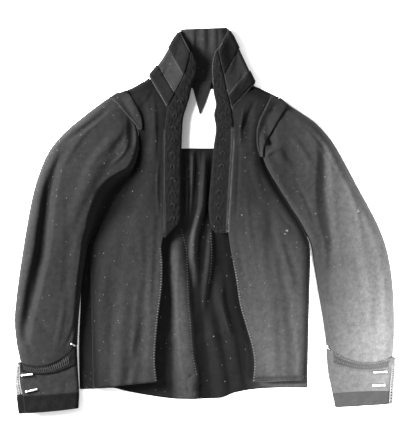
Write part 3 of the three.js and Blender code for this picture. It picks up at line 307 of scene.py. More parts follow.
SLEEVE_CREASES_RIGHT = table(
    CREASE,
    (126, 113, 114, 109, 104, 100, 5, 3.4), (104, 134, 110, 124, 118, 118, 5.5, -4.5),
    (101, 96, 108, 84, 124, 68, 4, -2), (208, 30, 206, -30, 207, -110, 9, -2.2),
    (250, -60, 262, -130, 268, -195, 12, -1.6), (225, -130, 232, -170, 240, -198, 9, 1.5),
    (280, -120, 280, -170, 276, -205, 9, -1.5), (300, -60, 296, -120, 298, -180, 8, 1.3),
    (140, 140, 160, 116, 178, 84, 8, 1.6), (168, 150, 196, 118, 214, 80, 6, -1.6),
    (150, 60, 170, 30, 184, -10, 7, -1.4), (236, 60, 250, 10, 262, -50, 7, 1.3),
    (206, -150, 214, -180, 226, -200, 5, -1.4),
)
SKIRT_CREASES = table(
    CREASE,
    (-27, 112, -27, 60, -26, 5, 3.5, -3), (-17.5, 102, -17.5, 50, -19, 4, 3, -3.5),
    (-22, 108, -22.5, 60, -22, 10, 3, 2), (-12, 108, -12, 70, -14, 20, 3.5, 2.4),
    (-6, 108, -6, 90, -7, 60, 3, -2.8), (-1, 110, 0, 95, -1, 75, 2.5, 1.6),
    (14, 108, 14, 70, 13, 20, 3, 2), (41, -112, 43, -140, 53, -181, 5, -3.2),
    (35, -136, 42, -160, 50, -184, 5, 2.2), (29, -157, 31, -168, 35, -176, 4, -2.2),
    (34, -160, 37, -175, 40, -184, 3.5, 1.6), (-8, -264, 0, -265.5, 9, -264, 3, -3.2),
    (-10, -272, 0, -271, 8, -270, 3, -2.8), (-19, -253, -15, -249, -11, -246, 2.5, -2.6),
    (-22, -264, -19, -269, -17, -275, 2.5, -2.2),
    (-34, -60, -36, -140, -28, -240, 4, 1.2), (-12, -70, -14, -120, -12, -170, 3.5, -2.5),
    (2, -112, 1, -150, 0, -180, 3.5, -2.5), (5, -190, 8, -215, 12, -250, 4, -2.5),
    (60, -190, 66, -225, 70, -262, 6, -1.6), (76, -120, 84, -180, 92, -240, 7, 1.4),
)
HEM_ROLL = table(
    CREASE,
    (98, -262.5, 136, -264, 174, -262.5, 5.5, 5.5),
)
COLLAR_CREASES = table(
    CREASE,
    (-66, 230, -60, 238, -57, 246, 5, 1.2), (60, 210, 66, 222, 70, 236, 6, -1.2),
    (46, 236, 52, 250, 54, 268, 6, 1.2), (-40, 250, -38, 262, -34, 276, 5, -1),
    (-14, 250, -12, 270, -10, 292, 4, 1.5), (14, 240, 14, 262, 12, 286, 4, -1.8),
)

# Along the collar, from its neck seam at 0 to its top at 1.
COLLAR_STRIPS = (("low", 0.03, 0.27), ("top", 0.63, 0.97))
COLLAR_CORD = np.array([(36.8, 282), (25.6, 270.4), (21.4, 256), (20, 240), (21.5, 216)])
COLLAR_STITCH_LEVELS = (0.005, 0.29, 0.61)

# Stitched lines.
SKIRT_SEAMS = (
    (
        (-30.4, -13), (-25.6, -32), (-21.6, -48), (-20.8, -72), (-19.2, -128), (-16, -160), (-12, -216),
        (-5, -248),
    ),
    ((17.6, -19), (18.4, -56), (17, -80), (13.5, -104)),
)
FRONT_HEM_STITCHES = (
    ((86, -251), (110, -250.5), (140, -249.5), (168, -248.5)),
    ((88, -255), (112, -254), (140, -252.5), (166, -251)),
)
WING_SEAMS = {
    "left": ((-142, 195), (-131, 186), (-118.5, 171), (-106, 157.5), (-97, 146)),
    "right": (
        (113.6, 194), (105.5, 178), (96, 159), (92, 144), (91.6, 131), (92, 119), (94, 108), (97, 101),
    ),
}

# Down the cuff, from its seam at 0 to its edge at 1.
CLOTH_LEVELS = np.linspace(0, 0.7, 60)
TRIM_LEVELS = np.linspace(0, 0.24, 26)
HEM_LEVELS = np.linspace(0.706, 1, 40)
CUFF_TRIM_COLUMNS = 59  # as far round the fold as the trim goes
CUFF_TRIM_EDGES = (0.03, 0.205)
CUFF_STITCH_PITCH = 3.6

# Bars of the cuff clasps: the knob's end, the plain end and the radius.
CUFF_BARS = {
    "left": (
        ("upper", -286, -248, -267, -246, 1.7),
        ("lower", -279, -274.5, -260, -270, 1.7),
        ("seam", -206, -197, -199.5, -200.5, 1.2),
    ),
    "right": (
        ("upper", 299, -242, 277, -243, 1.7),
        ("lower", 296, -263.5, 275, -264, 1.7),
        ("seam", 198.5, -198.5, 204, -201.5, 1.2),
    ),
}

# Levels of the cloth where a stitch, a fastener or a tuft finds no piece below it.
FRONT_LEVEL = 19
BAND_LEVEL = 20
SHOULDER_LEVEL = 14
CUFF_LEVEL = 15
SKIRT_LEVEL = 4

LACE_SCALLOPS = 7
LACE_CROSSINGS = 10

# The largest tufts of lint, with their size.
LINT = table(
    "x y size",
    (50.4, 94, 3), (23, -10, 2.4), (67, 8, 3), (59, -54, 2), (72, 100, 2.4), (50, -59, 2), (80, -104, 2.4),
    (22, -186, 2.4), (199, 69, 3.4), (184, 10, 2.6), (253, 14, 7), (139, -17, 5), (136, -22, 3.5),
    (202, -27, 3), (-224, 126, 2.2), (40, -258, 2.4), (-130, -160, 2), (-92, -86, 1.8), (-40, 62, 1.8),
    (-178, 60, 2), (-240, -120, 2), (-152, 90, 2.2),
)

# Fineness of the shells.
CREASE_STEPS = 48
ROLL_COLUMNS = 9
UNDER_ROWS = 60
UNDER_COLUMNS = 24
FINE_ROWS = 170
FINE_COLUMNS = 90
SKIRT_ROWS = 150
SKIRT_ACROSS = 170
WING_ROWS = 60
WING_ACROSS = 16
COLLAR_ROWS = 110
WING_COLUMNS = 44  # across each folded side of the collar
STITCHED = 38  # columns of a wing that its stitches cross
STRIP_ROWS = 36

# Painted light and shade, as shares of the wool's tone along an axis: mostly lighter towards the lower
# right, lighter on the skirt's hem roll, darker on the chest, at the left front's side and where the cloth
# lies low. The skirt is also darker to the right of its broad pleat. Each gives an axis, its two ends in
# metres and their tones' shares.
FRONT_PAINTED_LIGHT = [("Y", -0.23, 0.05, 2.15, 0.5), ("Z", 0.013, 0.0202, 0.07, 1.1)]
LEFT_FRONT_PAINTED_LIGHT = [*FRONT_PAINTED_LIGHT, ("X", -0.18, -0.12, 0.22, 0.78)]
LEFT_SLEEVE_PAINTED_LIGHT = [("Z", 0.004, 0.016, 0.4, 0.72), ("Y", -0.18, -0.08, 1.3, 1.0)]
RIGHT_SLEEVE_PAINTED_LIGHT = [
    ("X", 0.125, 0.16, 0.5, 1.15), ("X", 0.175, 0.285, 1.1, 6.4),
    ("Y", -0.2, -0.07, 1.0, 0.72), ("Y", -0.06, 0.1, 1.0, 1.8),
]
CUFF_PAINTED_LIGHT = [("X", 0.2, 0.3, 1.0, 1.9)]
SKIRT_PAINTED_LIGHT = [
    ("Z", 0.0024, 0.0105, 0.35, 1.7), ("X", -0.026, -0.01, 1.0, 0.32), ("X", 0.06, 0.09, 1.0, 9.0),
]

# Stage, in metres but for the middle of the view.
FLOOR_SIZE = 60
VIEW_MIDDLE = (0, 13.6, 0)
VIEW_HEIGHT = 0.6768
CAMERA_HEIGHT = 6
KEY_PLACE = (-1.15, 0.4, 0.7)
KEY_SIZE = (0.6, 0.6)
SPOT_PLACE = (0.5, -0.45, 0.7)
SPOT_AIM = (0.3, -0.25, 0)
SPOT_ANGLE = 52
SPOT_SOFTNESS = 0.12


# Curves and surfaces, in millimetres.


def curve(keys, values):
    """A smooth curve through a table's column. Past its ends it stays level."""
    order = np.argsort(keys)
    keys, values = np.asarray(keys, float)[order], np.asarray(values, float)[order]
    last = len(keys) - 1
    before = np.maximum(np.arange(last + 1) - 1, 0)
    after = np.minimum(np.arange(last + 1) + 1, last)
    slopes = (values[after] - values[before]) / (keys[after] - keys[before])

    def read(t):
        t = np.clip(np.asarray(t, float), keys[0], keys[-1])
        i = np.clip(np.searchsorted(keys, t, side="right") - 1, 0, last - 1)
        span = keys[i + 1] - keys[i]
        f = (t - keys[i]) / span
        g = f * f * (3 - 2 * f)
        turn = f * (1 - f) * span
        return mix(values[i], values[i + 1], g) + turn * ((1 - f) * slopes[i] - f * slopes[i + 1])

    return read


def by_row(rows):
    """Every column of a table as a curve of the row's number."""
    count = len(next(iter(rows.values())))
    return {name: curve(np.arange(count), column) for name, column in rows.items()}


def mix(a, b, f):
    return a + (b - a) * f


def smooth_step(f):
    f = np.clip(f, 0, 1)
    return f * f * (3 - 2 * f)


def bump(q):
    return np.where(np.abs(q) < 1, (1 + np.cos(np.pi * np.clip(q, -1, 1))) / 2, 0)


body_side = curve(BODY_SIDE["y"], BODY_SIDE["x"])


def edge_level(y, cloth):
    """Level of the cloth's edge at the side: on the back along the side seam, raised at the armhole."""
    return mix(cloth + GAP, ARMHOLE_LEVEL, smooth_step((y - ARMHOLE_Y) / ARMHOLE_RISE))


def broad(q):
    """The profile of a pleat with a broad back."""
    return np.sqrt(bump(q))


def folding(folds, key, centre, profile=bump):
    """Heights of folds that each follow a line: place is along them, and away gives the distance."""
    read = [
        (rows[key].min(), rows[key].max(), *(curve(rows[key], rows[c]) for c in (centre, "half", "rise")))
        for rows in folds
    ]

    def height(place, away):
        total = 0
        for low, high, middle, half, rise in read:
            inside = (place >= low) & (place <= high)
            total = total + inside * rise(place) * profile(away(middle(place)) / half(place))
        return total

    return height


def creased(x, y, rows):
    """Heights of a table's creases. They fade out towards both ends."""
    total = np.zeros_like(x)
    s = np.linspace(0, 1, CREASE_STEPS)
    for x0, y0, x1, y1, x2, y2, half, rise in zip(*rows.values()):
        bend_x, bend_y = 2 * x1 - (x0 + x2) / 2, 2 * y1 - (y0 + y2) / 2
        line_x = (1 - s) ** 2 * x0 + 2 * s * (1 - s) * bend_x + s**2 * x2
        line_y = (1 - s) ** 2 * y0 + 2 * s * (1 - s) * bend_y + s**2 * y2
        near = (x > line_x.min() - half) & (x < line_x.max() + half)
        near &= (y > line_y.min() - half) & (y < line_y.max() + half)
        if not near.any():
            continue
        apart = np.hypot(x[near][:, None] - line_x, y[near][:, None] - line_y)
        nearest = apart.argmin(axis=1)
        fade = np.sin(np.pi * (0.04 + 0.92 * s[nearest])) ** 0.6
        total[near] += rise * fade * bump(apart.min(axis=1) / half)
    return total


def uneven(x, y, size, seed):
    """Gentle unevenness of about one size, from waves in all directions, the same each time."""
    draw = np.random.default_rng(seed)
    total = 0
    waves = 20
    for _ in range(waves):
        way, start = draw.uniform(0, 2 * np.pi, 2)
        length = size * draw.uniform(0.7, 1.7)
        total = total + np.sin(2 * np.pi * (x * np.cos(way) + y * np.sin(way)) / length + start)
    return total / math.sqrt(waves)


def points(x, y, z):
    return np.stack(np.broadcast_arrays(x, y, z), axis=-1).astype(float)


def unit(vectors):
    return vectors / np.maximum(np.linalg.norm(vectors, axis=-1, keepdims=True), 1e-9)


def grid_normals(grid):
    down = np.empty_like(grid)
    over = np.empty_like(grid)
    down[1:-1], down[0], down[-1] = grid[2:] - grid[:-2], grid[1] - grid[0], grid[-1] - grid[-2]
    over[:, 1:-1], over[:, 0] = grid[:, 2:] - grid[:, :-2], grid[:, 1] - grid[:, 0]
    over[:, -1] = grid[:, -1] - grid[:, -2]
    return unit(np.cross(over, down))


def upward(grid):
    """1 where a grid's normals point up, as seen in its middle, and otherwise -1."""
    normals = grid_normals(grid)
    return np.sign(normals[len(grid) // 2, grid.shape[1] // 2, 2])


def moved(grid, distance, lowest=-math.inf):
    out = grid + grid_normals(grid) * distance
    out[..., 2] = np.maximum(out[..., 2], lowest)
    return out


def moved_down(grid, thickness):
    return grid - np.array((0, 0, thickness))


def spanned(a, b, u, sag):
    """Places from one edge to the other, with a sag between them."""
    return mix(a[..., 0], b[..., 0], u), mix(a[..., 1], b[..., 1], u) - sag * 4 * u * (1 - u)


def domed(rows, first, second, roll, end_roll, fold, creases, seed):
    """Cloth domed between two edges. It rounds over at the first, and at the second if that has a roll."""
    row = by_row(rows)
    t = np.linspace(0, len(rows["height"]) - 1, FINE_ROWS)[:, None]
    a, b = first(t), second(t)
    width = np.hypot(b[..., 0] - a[..., 0], b[..., 1] - a[..., 1])
    r, s = np.minimum(roll(t), width * 0.7), np.minimum(end_roll, width * 0.3)
    angles = np.linspace(0, np.pi / 2, ROLL_COLUMNS, endpoint=False)
    level = np.linspace(0, 1, FINE_COLUMNS)
    d = [r * (1 - np.cos(angles)), r + (width - r - s) * level]
    lift = [np.sin(angles), np.ones(FINE_COLUMNS)]
    edge = [a[..., 2] + 0 * angles, 0 * level + 0 * a[..., 2]]
    if end_roll > 0:
        d.append(width - s * (1 - np.cos(angles[::-1])))
        lift.append(np.sin(angles[::-1]))
        edge.append(b[..., 2] + 0 * angles)
    d, edge, lift = np.concatenate(d, axis=1), np.concatenate(edge, axis=1), np.concatenate(lift)
    u = d / width
    x, y = spanned(a, b, u, row["sag"](t))
    top = row["height"](t) + CROWN * np.sin(np.pi * u) + fold(t, d, width, x, y)
    z = edge + (np.maximum(top, edge) - edge) * lift
    waves = [rise * uneven(x, y, size, seed + i) for i, (rise, size) in enumerate(CLOTH_WAVES)]
    return points(x, y, z + lift**2 * (creased(x, y, creases) + waves[0] + waves[1]))


def front_grid(side, rows, rolls, folds, creases, cloth, seed):
    row = by_row(rows)
    roll = curve(rolls["y"], rolls["roll"])
    fold = folding(folds, "y", "x")

    def outer(t):
        y = row["sideY"](t)
        return points(side * (body_side(y) - 0.3), y, edge_level(y, cloth))

    def opening(t):
        return points(side * row["edgeX"](t), row["edgeY"](t), 0 * t)

    def folded(t, d, width, x, y):
        return fold(y, lambda centre: x * side - centre)

    return domed(rows, outer, opening, lambda t: roll(row["sideY"](t)), 0, folded, creases, seed)


def sleeve_edges(side, rows, spread, cloth):
    row = by_row(rows)
    off = curve(spread["y"], spread["x"])

    def outer(t):
        return points(side * row["x"](t), row["y"](t), 0 * t + cloth + GAP)

    def inner(t):
        y = row["innerY"](t)
        return points(side * (body_side(y) + 0.7 + off(y)), y, edge_level(y, cloth))

    return row, outer, inner


def sleeve_grid(side, rows, spread, folds, creases, cloth, seed):
    row, outer, inner = sleeve_edges(side, rows, spread, cloth)
    fold = folding(folds, "at", "share")

    def roll(t):
        return np.minimum(SLEEVE_ROLL, row["height"](t))

    def folded(t, d, width, x, y):
        return fold(t, lambda share: d - share * width)

    return domed(rows, outer, inner, roll, INNER_ROLL, folded, creases, seed)


def underside_grid(side, rows, spread, cloth):
    """The undersleeve: flat on the surface below, between the same two edges."""
    row, outer, inner = sleeve_edges(side, rows, spread, cloth)
    t = np.linspace(0, len(rows["height"]) - 1, UNDER_ROWS)[:, None]
    x, y = spanned(outer(t), inner(t), np.linspace(0, 1, UNDER_COLUMNS), row["sag"](t))
    return points(x, y, cloth)


def skirt_grid(cloth):
    hem = curve(SKIRT_HEM["x"], SKIRT_HEM["y"])
    broad_pleat = folding(SKIRT_PLEATS[:1], "y", "x", broad)
    others = folding(SKIRT_PLEATS[1:], "y", "x", broad)
    seam_x, seam_y = np.transpose(SKIRT_SEAMS[0])
    v = np.linspace(0, 1, SKIRT_ROWS)[:, None]
    half = body_side(mix(SEAM_Y, SKIRT_HEM_Y, v)) - 0.2
    x = half * np.linspace(-1, 1, SKIRT_ACROSS)
    y = mix(SEAM_Y, hem(x), v)
    past_seam = smooth_step((x - curve(seam_y, seam_x)(y)) / PLEAT_DROP) * smooth_step((-10 - y) / 20)
    rise = broad_pleat(y, lambda centre: x - centre) * (1 - 0.8 * past_seam)
    rise = np.maximum(rise + others(y, lambda centre: x - centre), 0)
    inner_part = smooth_step((150 - np.abs(x)) / 20)
    fine = creased(x, y, SKIRT_CREASES) + 0.3 * uneven(x, y, 30, 41) * (np.abs(x) < 100)
    lift = rise * 1.015 + fine * inner_part + creased(x, y, HEM_ROLL) + 0.2
    gap = curve(SPREAD_LEFT["y"], SPREAD_LEFT["x"])(y)
    x = x - curve(SIDE_PANEL["y"], SIDE_PANEL["share"])(y) * gap * smooth_step((-x / half - 0.9) / 0.1)
    return points(x, y, cloth + np.maximum(lift, 0.05))


def yoke_grid(inset, level):
    """The yoke from the skirt seam to the neck, its shoulders sloping to both armholes."""
    top = curve([-128, -108, -79, 0, 84, 108, 124], [202, 211, 224.3, 219.1, 213.6, 204, 196])
    v = np.linspace(0, 1, 40)[:, None]
    u = np.linspace(-1, 1, 60)
    low = SEAM_Y + SEAM_GAP
    half = body_side(mix(low, SHOULDER_Y, v)) - 0.2 - inset
    x = np.minimum(half * u, SHOULDER_X - inset)
    return points(x, mix(low, top(x) - inset, v), level)


def facing_grid(level):
    left = curve([170, 196, 222], [-0.5, -7, -14])
    right = curve([170, 192, 220], [1, 10, 19])
    y = np.linspace(170, 221, 40)[:, None]
    return points(mix(left(y), right(y), np.linspace(0, 1, 14)), y, level + 0.12 * uneven(y, 0, 12, 5))


def band_grid(rows):
    row = by_row(rows)
    t = np.linspace(0, len(rows["z"]) - 1, 220)[:, None]
    u = np.linspace(0, 1, 26)
    x, y = mix(row["outerX"](t), row["innerX"](t), u), mix(row["outerY"](t), row["innerY"](t), u)
    edges = 0.9 * (smooth_step(u / 0.08) + smooth_step((1 - u) / 0.08) - 2)
    ripple = 0.28 * uneven(x * 2.4, y * 0.9, 9, 61) + 0.22 * uneven(x, y, 16, 62)
    ribs = 0.22 * np.sin(2 * np.pi * y / 4.6 + 2 * uneven(x, y, 30, 63)) * smooth_step((u - 0.1) / 0.3)
    return points(x, y, row["z"](t) - BAND_DROP * u * u + edges + ripple + ribs - 0.2)


def collar_grid(at):
    """The collar across from the left wing's front edge, round both folds, to the right wing's."""
    read = {name: curve(COLLAR["at"], COLLAR[name]) for name in COLLAR}
    at = np.asarray(at)[:, None]
    front = mix(17.5, 22, at)

    def wing(edge, fold):
        edge_x, edge_y = read[edge + "X"](at), read[edge + "Y"](at)
        fold_x, fold_y = read[fold + "X"](at), read[fold + "Y"](at)
        length = np.hypot(edge_x - fold_x, edge_y - fold_y)
        in_x, in_y = (edge_x - fold_x) / length, (edge_y - fold_y) / length
        start_x, start_y = fold_x + in_x * COLLAR_FOLD, fold_y + in_y * COLLAR_FOLD
        f = np.linspace(0, 1, WING_COLUMNS)
        z = mix(front, 2 * COLLAR_FOLD, smooth_step(f))
        flat = points(mix(edge_x, start_x, f), mix(edge_y, start_y, f), z)
        angle = np.linspace(0, np.pi, 13)[1:-1]
        reach = COLLAR_FOLD * np.sin(angle) * (1 - 0.35 * smooth_step((at - 0.8) / 0.2))
        bend = points(start_x - in_x * reach, start_y - in_y * reach, COLLAR_FOLD * (1 + np.cos(angle)))
        return flat, bend, (start_x, start_y)

    left_flat, left_bend, (left_x, left_y) = wing("left", "leftFold")
    right_flat, right_bend, (right_x, right_y) = wing("right", "rightFold")
    f = np.linspace(0, 1, FINE_COLUMNS)
    x, y = mix(left_x, right_x, f), mix(left_y, right_y, f)
    raised = smooth_step((at - 0.6) / 0.4) * smooth_step(np.minimum(f, 1 - f) / 0.04)
    y = y + COLLAR_BACK_RISE * raised
    pucker = sum(rise * bump((x - middle) / half) for middle, half, rise in zip(*COLLAR_PUCKERS.values()))
    swell = COLLAR_SWELL * smooth_step((at - 0.4) / 0.4) * smooth_step(np.minimum(f, 1 - f) / 0.2)
    back = points(x, y, swell + np.maximum(pucker * smooth_step((at - 0.35) / 0.5), 0))
    line = [left_flat, left_bend, back, right_bend[:, ::-1], right_flat[:, ::-1]]
    grid = np.concatenate(line, axis=1)
    wing_part = left_flat.shape[1] + left_bend.shape[1]
    soft = np.ones(grid.shape[1])
    soft[wing_part:-wing_part] = 0
    x, y = grid[..., 0], grid[..., 1]
    fine = creased(x, y, COLLAR_CREASES) + 0.25 * uneven(x, y, 26, 71)
    grid[..., 2] += soft * fine * smooth_step((grid[..., 2] - 9) / 3)
    grid[:, wing_part:-wing_part, 2] += np.maximum(fine[:, wing_part:-wing_part], 0)
    return grid, wing_part


def cuff_grid(rows, levels, proud, depth):
    """A cuff from its slit over the top, round the inner seam and back beneath. Depth moves it inwards."""
    read = {name: curve(rows["at"], rows[name]) for name in rows}
    at = np.asarray(levels)[:, None]
    slit_x, slit_y = read["slitX"](at), read["slitY"](at)
    fold_x, fold_y = read["foldX"](at), read["foldY"](at)
    width = np.hypot(fold_x - slit_x, fold_y - slit_y)
    beneath = np.hypot(read["underX"](at) - slit_x, read["underY"](at) - slit_y) / width
    high = read["height"](at) + proud
    radius = high / 2
    start = 1 - radius / width
    f = np.linspace(0, 1, 56)
    angle = np.linspace(0, np.pi, 15)[1:-1]
    reach = radius - depth
    u = [start * f, start + reach * np.sin(angle) / width, mix(start, -beneath, np.linspace(0, 1, 30))]
    z_top = high - depth + 1.5 * np.sin(np.pi * f)
    z = [z_top, radius + reach * np.cos(angle), depth + 0 * u[2]]
    u, z = np.concatenate(u, axis=1), np.concatenate(z, axis=1)
    x = mix(slit_x, fold_x, u)
    y = mix(slit_y, fold_y, u) - read["sag"](at) * 4 * np.maximum(u, 0) * (1 - u)
    on_top = smooth_step((z - high * 0.8) / 2)
    return points(x, y, z + on_top * 0.3 * uneven(x, y, 18, 81))


# Frame and meshes.

HIGH_ABOVE = 0.3
BACK_LOW, BACK_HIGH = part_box("back_yoke")
SHIFT = Vector(((BACK_LOW[0] + BACK_HIGH[0]) * 500, BACK_LOW[1] * 1000 - (SEAM_Y + SEAM_GAP), 0))


def to_frame(where):
    return (np.asarray(where, float) + np.array(SHIFT)) / 1000


def deselect():
    bpy.ops.object.select_all(action="DESELECT")


def new_object(name, vertices, faces):
    mesh = bpy.data.meshes.new(name)
    mesh.from_pydata([tuple(v) for v in vertices], [], faces)
    mesh.polygons.foreach_set("use_smooth", [True] * len(mesh.polygons))
    piece = bpy.data.objects.new(name, mesh)
    bpy.context.scene.collection.objects.link(piece)
    return piece


def cut_lengths(grid):
    """How far each point lies across and along the cloth, as it was cut flat."""
    across = np.linalg.norm(np.diff(grid, axis=1), axis=2).cumsum(axis=1)
    along = np.linalg.norm(np.diff(grid, axis=0), axis=2).cumsum(axis=0)
    across = np.concatenate([np.zeros((len(grid), 1)), across], axis=1)
    along = np.concatenate([np.zeros((1, grid.shape[1])), along])
    return across / 1000, along / 1000


def shell(name, outer, inner):
    """A closed cloth wall between two grids of points, with round rims and a map of its cut."""
    rows, columns = outer.shape[:2]
    inside = np.arange(rows * columns).reshape(rows, columns)
    rim = [*inside[0, :-1], *inside[:-1, -1], *inside[-1, :0:-1], *inside[:0:-1, 0]]
    top, bottom = outer.reshape(-1, 3), inner.reshape(-1, 3)
    next_in = np.roll(inside, 1, axis=0)
    next_in[0] = inside[1]
    next_in[:, 0], next_in[:, -1] = inside[:, 1], inside[:, -2]
    next_in[0, 1:-1], next_in[-1, 1:-1] = inside[1, 1:-1], inside[-2, 1:-1]
    neighbour = next_in.reshape(-1)[rim]
    away = unit(top[rim] - top[neighbour])
    thick = np.linalg.norm(top[rim] - bottom[rim], axis=1, keepdims=True)
    middle = (top[rim] + bottom[rim]) / 2 + away * np.minimum(thick * 0.3, 0.7)
    middle[:, 2] = np.maximum(middle[:, 2], 0)
    vertices = to_frame(np.concatenate([top, bottom, middle]))
    size, count = rows * columns, len(rim)
    a, b = inside[:-1, :-1].ravel(), inside[:-1, 1:].ravel()
    c, d = inside[1:, 1:].ravel(), inside[1:, :-1].ravel()
    quads = [np.stack([a, b, c, d], axis=1), np.stack([a, d, c, b], axis=1) + size]
    here = np.arange(count)
    after = (here + 1) % count
    rim = np.array(rim)
    quads.append(np.stack([rim[after], rim[here], 2 * size + here, 2 * size + after], axis=1))
    quads.append(np.stack([2 * size + after, 2 * size + here, size + rim[here], size + rim[after]], axis=1))
    faces = np.concatenate(quads)
    corner = vertices[faces]
    volume = np.einsum("ij,ij->i", corner[:, 0], np.cross(corner[:, 1], corner[:, 2])).sum()
    volume += np.einsum("ij,ij->i", corner[:, 0], np.cross(corner[:, 2], corner[:, 3])).sum()
    if volume < 0:
        faces = faces[:, ::-1]
    piece = new_object(name, vertices, faces.tolist())
    across, along = cut_lengths(outer)
    place = np.stack([across.ravel(), along.ravel()], axis=1)
    place = np.concatenate([place, place, place[rim]])
    layer = piece.data.uv_layers.new(name="cut")
    layer.data.foreach_set("uv", place[faces.ravel()].ravel())
    return piece


def cut_of(grid):
    """The flat width, length and area of the cloth that a grid of points is the face of."""
    across, along = cut_lengths(grid)
    first = np.cross(grid[1:, :-1] - grid[:-1, :-1], grid[:-1, 1:] - grid[:-1, :-1])
    second = np.cross(grid[:-1, 1:] - grid[1:, 1:], grid[1:, :-1] - grid[1:, 1:])
    area = (np.linalg.norm(first, axis=2).sum() + np.linalg.norm(second, axis=2).sum()) / 2e6
    return (float(across[:, -1].max()), float(along[-1].max())), float(area)


def finish(piece, material, nodes=()):
    """Gives a piece its material and slot, hangs it from the root and hides the frame's nodes that it
    stands for.
    """
    piece.data.materials.clear()
    piece.data.materials.append(material)
    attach(piece, "root")
    if nodes:
        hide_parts(*nodes)
    return piece


def cloth_piece(name, outer, inner, looks, slot, stands_for, held, *rests_on):
    """A cloth wall in one of the finishes, in the place of one CAD node."""
    piece = finish(shell(name, outer, inner), FINISHES[looks], [stands_for])
    flat, area = cut_of(outer)


def lies_on(names):
    """Reads the height of the highest of some pieces at a place, or a level where there is none."""
    trees = []
    for name in names:
        mesh = bpy.data.objects[name].data
        corners = [v.co for v in mesh.vertices]
        trees.append(BVHTree.FromPolygons(corners, [tuple(p.vertices) for p in mesh.polygons]))
    down = Vector((0, 0, -1))

    def height(x, y, otherwise=0.0):
        start = Vector(((x + SHIFT.x) / 1000, (y + SHIFT.y) / 1000, HIGH_ABOVE))
        hits = [tree.ray_cast(start, down)[0] for tree in trees]
        levels = [hit.z * 1000 for hit in hits if hit is not None]
        return max(levels) if levels else otherwise

    return height


def near_top(height, x, y, reach, otherwise):
    ways = [(0, 0), (1, 0), (-1, 0), (0, 1), (0, -1)]
    return max(height(x + dx * reach, y + dy * reach, otherwise) for dx, dy in ways)


class Threads:
    """Many short threads, gathered into one mesh."""

    def __init__(self, sides=5):
        self.angles = np.linspace(0, 2 * np.pi, sides, endpoint=False)
        self.vertices = []
        self.faces = []
        self.count = 0

    def add(self, line, radius, ends=0.4):
        """A round thread along some points. Its ends draw in."""
        line = np.asarray(line, float)
        along = unit(np.gradient(line, axis=0))
        side = np.cross(along, (0, 0, 1.0))
        side[np.linalg.norm(side, axis=1) < 1e-3] = (1, 0, 0)
        side = unit(side)
        up = np.cross(side, along)
        radii = np.full(len(line), float(radius))
        radii[[0, -1]] *= ends
        turn = self.angles[None, :, None]
        circle = np.cos(turn) * side[:, None] + np.sin(turn) * up[:, None]
        ring = line[:, None] + radii[:, None, None] * circle
        sides = len(self.angles)
        self.vertices.append(ring.reshape(-1, 3))
        base = self.count
        for i in range(len(line) - 1):
            for k in range(sides):
                a, b = base + i * sides + k, base + i * sides + (k + 1) % sides
                self.faces.append((a, b, b + sides, a + sides))
        self.faces.append(tuple(base + k for k in range(sides))[::-1])
        last = base + (len(line) - 1) * sides
        self.faces.append(tuple(last + k for k in range(sides)))
        self.count += len(line) * sides

    def piece(self, name):
        return new_object(name, to_frame(np.concatenate(self.vertices)), self.faces)


def paced(line, pitch):
    """Places and directions at an even pace along a line seen from above."""
    line = np.asarray(line, float)
    steps = np.hypot(*np.diff(line, axis=0).T)
    walked = np.concatenate([[0], steps.cumsum()])
    at = np.arange(pitch / 2, walked[-1], pitch)
    x, y = np.interp(at, walked, line[:, 0]), np.interp(at, walked, line[:, 1])
    i = np.clip(np.searchsorted(walked, at) - 1, 0, len(steps) - 1)
    way = np.diff(line, axis=0)[i] / steps[i][:, None]
    return list(zip(x, y, way[:, 0], way[:, 1]))


# Finishes.


def new_group(name, inputs, outputs):
    """A shader node group with named sockets, and its input and output nodes."""
    group = bpy.data.node_groups.new(name, "ShaderNodeTree")
    for label, kind, default in inputs:
        socket = group.interface.new_socket(label, in_out="INPUT", socket_type=kind)
        socket.default_value = default
    for label, kind in outputs:
        group.interface.new_socket(label, in_out="OUTPUT", socket_type=kind)
    return group, group.nodes.new("NodeGroupInput").outputs, group.nodes.new("NodeGroupOutput").inputs


def node(tree, kind, settings=None, **sockets):
    """Adds a shader node. Each socket takes a value, or the output that feeds it."""
    made = tree.nodes.new("ShaderNode" + kind)
    for name, value in (settings or {}).items():
        setattr(made, name, value)
    for name, value in sockets.items():
        socket = made.inputs[int(name[1:])] if name[1:].isdigit() else made.inputs[name.replace("_", " ")]
        if isinstance(value, bpy.types.NodeSocket):
            tree.links.new(value, socket)
        else:
            socket.default_value = value
    return made


def calculated(tree, operation, *values):
    numbered = {f"_{i}": value for i, value in enumerate(values)}
    return node(tree, "Math", {"operation": operation}, **numbered).outputs[0]


def one_over(tree, value):
    return calculated(tree, "DIVIDE", 1.0, value)


def product(tree, first, second):
    return calculated(tree, "MULTIPLY", first, second)


def ramp(tree, value, low, high, to_low=0.0, to_high=1.0):
    ends = {"From_Min": low, "From_Max": high, "To_Min": to_low, "To_Max": to_high}
    return node(tree, "MapRange", {"clamp": True}, Value=value, **ends).outputs["Result"]


def blend_colours(tree, factor, first, second, how="MIX"):
    settings = {"data_type": "RGBA", "blend_type": how}
    return node(tree, "Mix", settings, _0=factor, _6=first, _7=second).outputs[2]


def mottle_group():
    """Clouds of lighter and darker tone, as uneven dye and worn nap leave."""
    inputs = [
        ("Vector", "NodeSocketVector", (0, 0, 0)),
        ("Colour", "NodeSocketColor", (0.1, 0.1, 0.1, 1)),
        ("Worn Colour", "NodeSocketColor", (0.2, 0.2, 0.2, 1)),
        ("Cloud Size", "NodeSocketFloat", 0.03),
        ("Amount", "NodeSocketFloat", 0.5),
    ]
    group, given, out = new_group("mottled_tone", inputs, [("Color", "NodeSocketColor")])
    scale = one_over(group, given["Cloud Size"])
    clouds = node(group, "TexNoise", Vector=given["Vector"], Scale=scale, Detail=6.0, Roughness=0.62)
    mask = ramp(group, clouds.outputs["Fac"], 0.38, 0.72)
    share = product(group, mask, given["Amount"])
    made = blend_colours(group, share, given["Colour"], given["Worn Colour"])
    group.links.new(made, out["Color"])
    return group


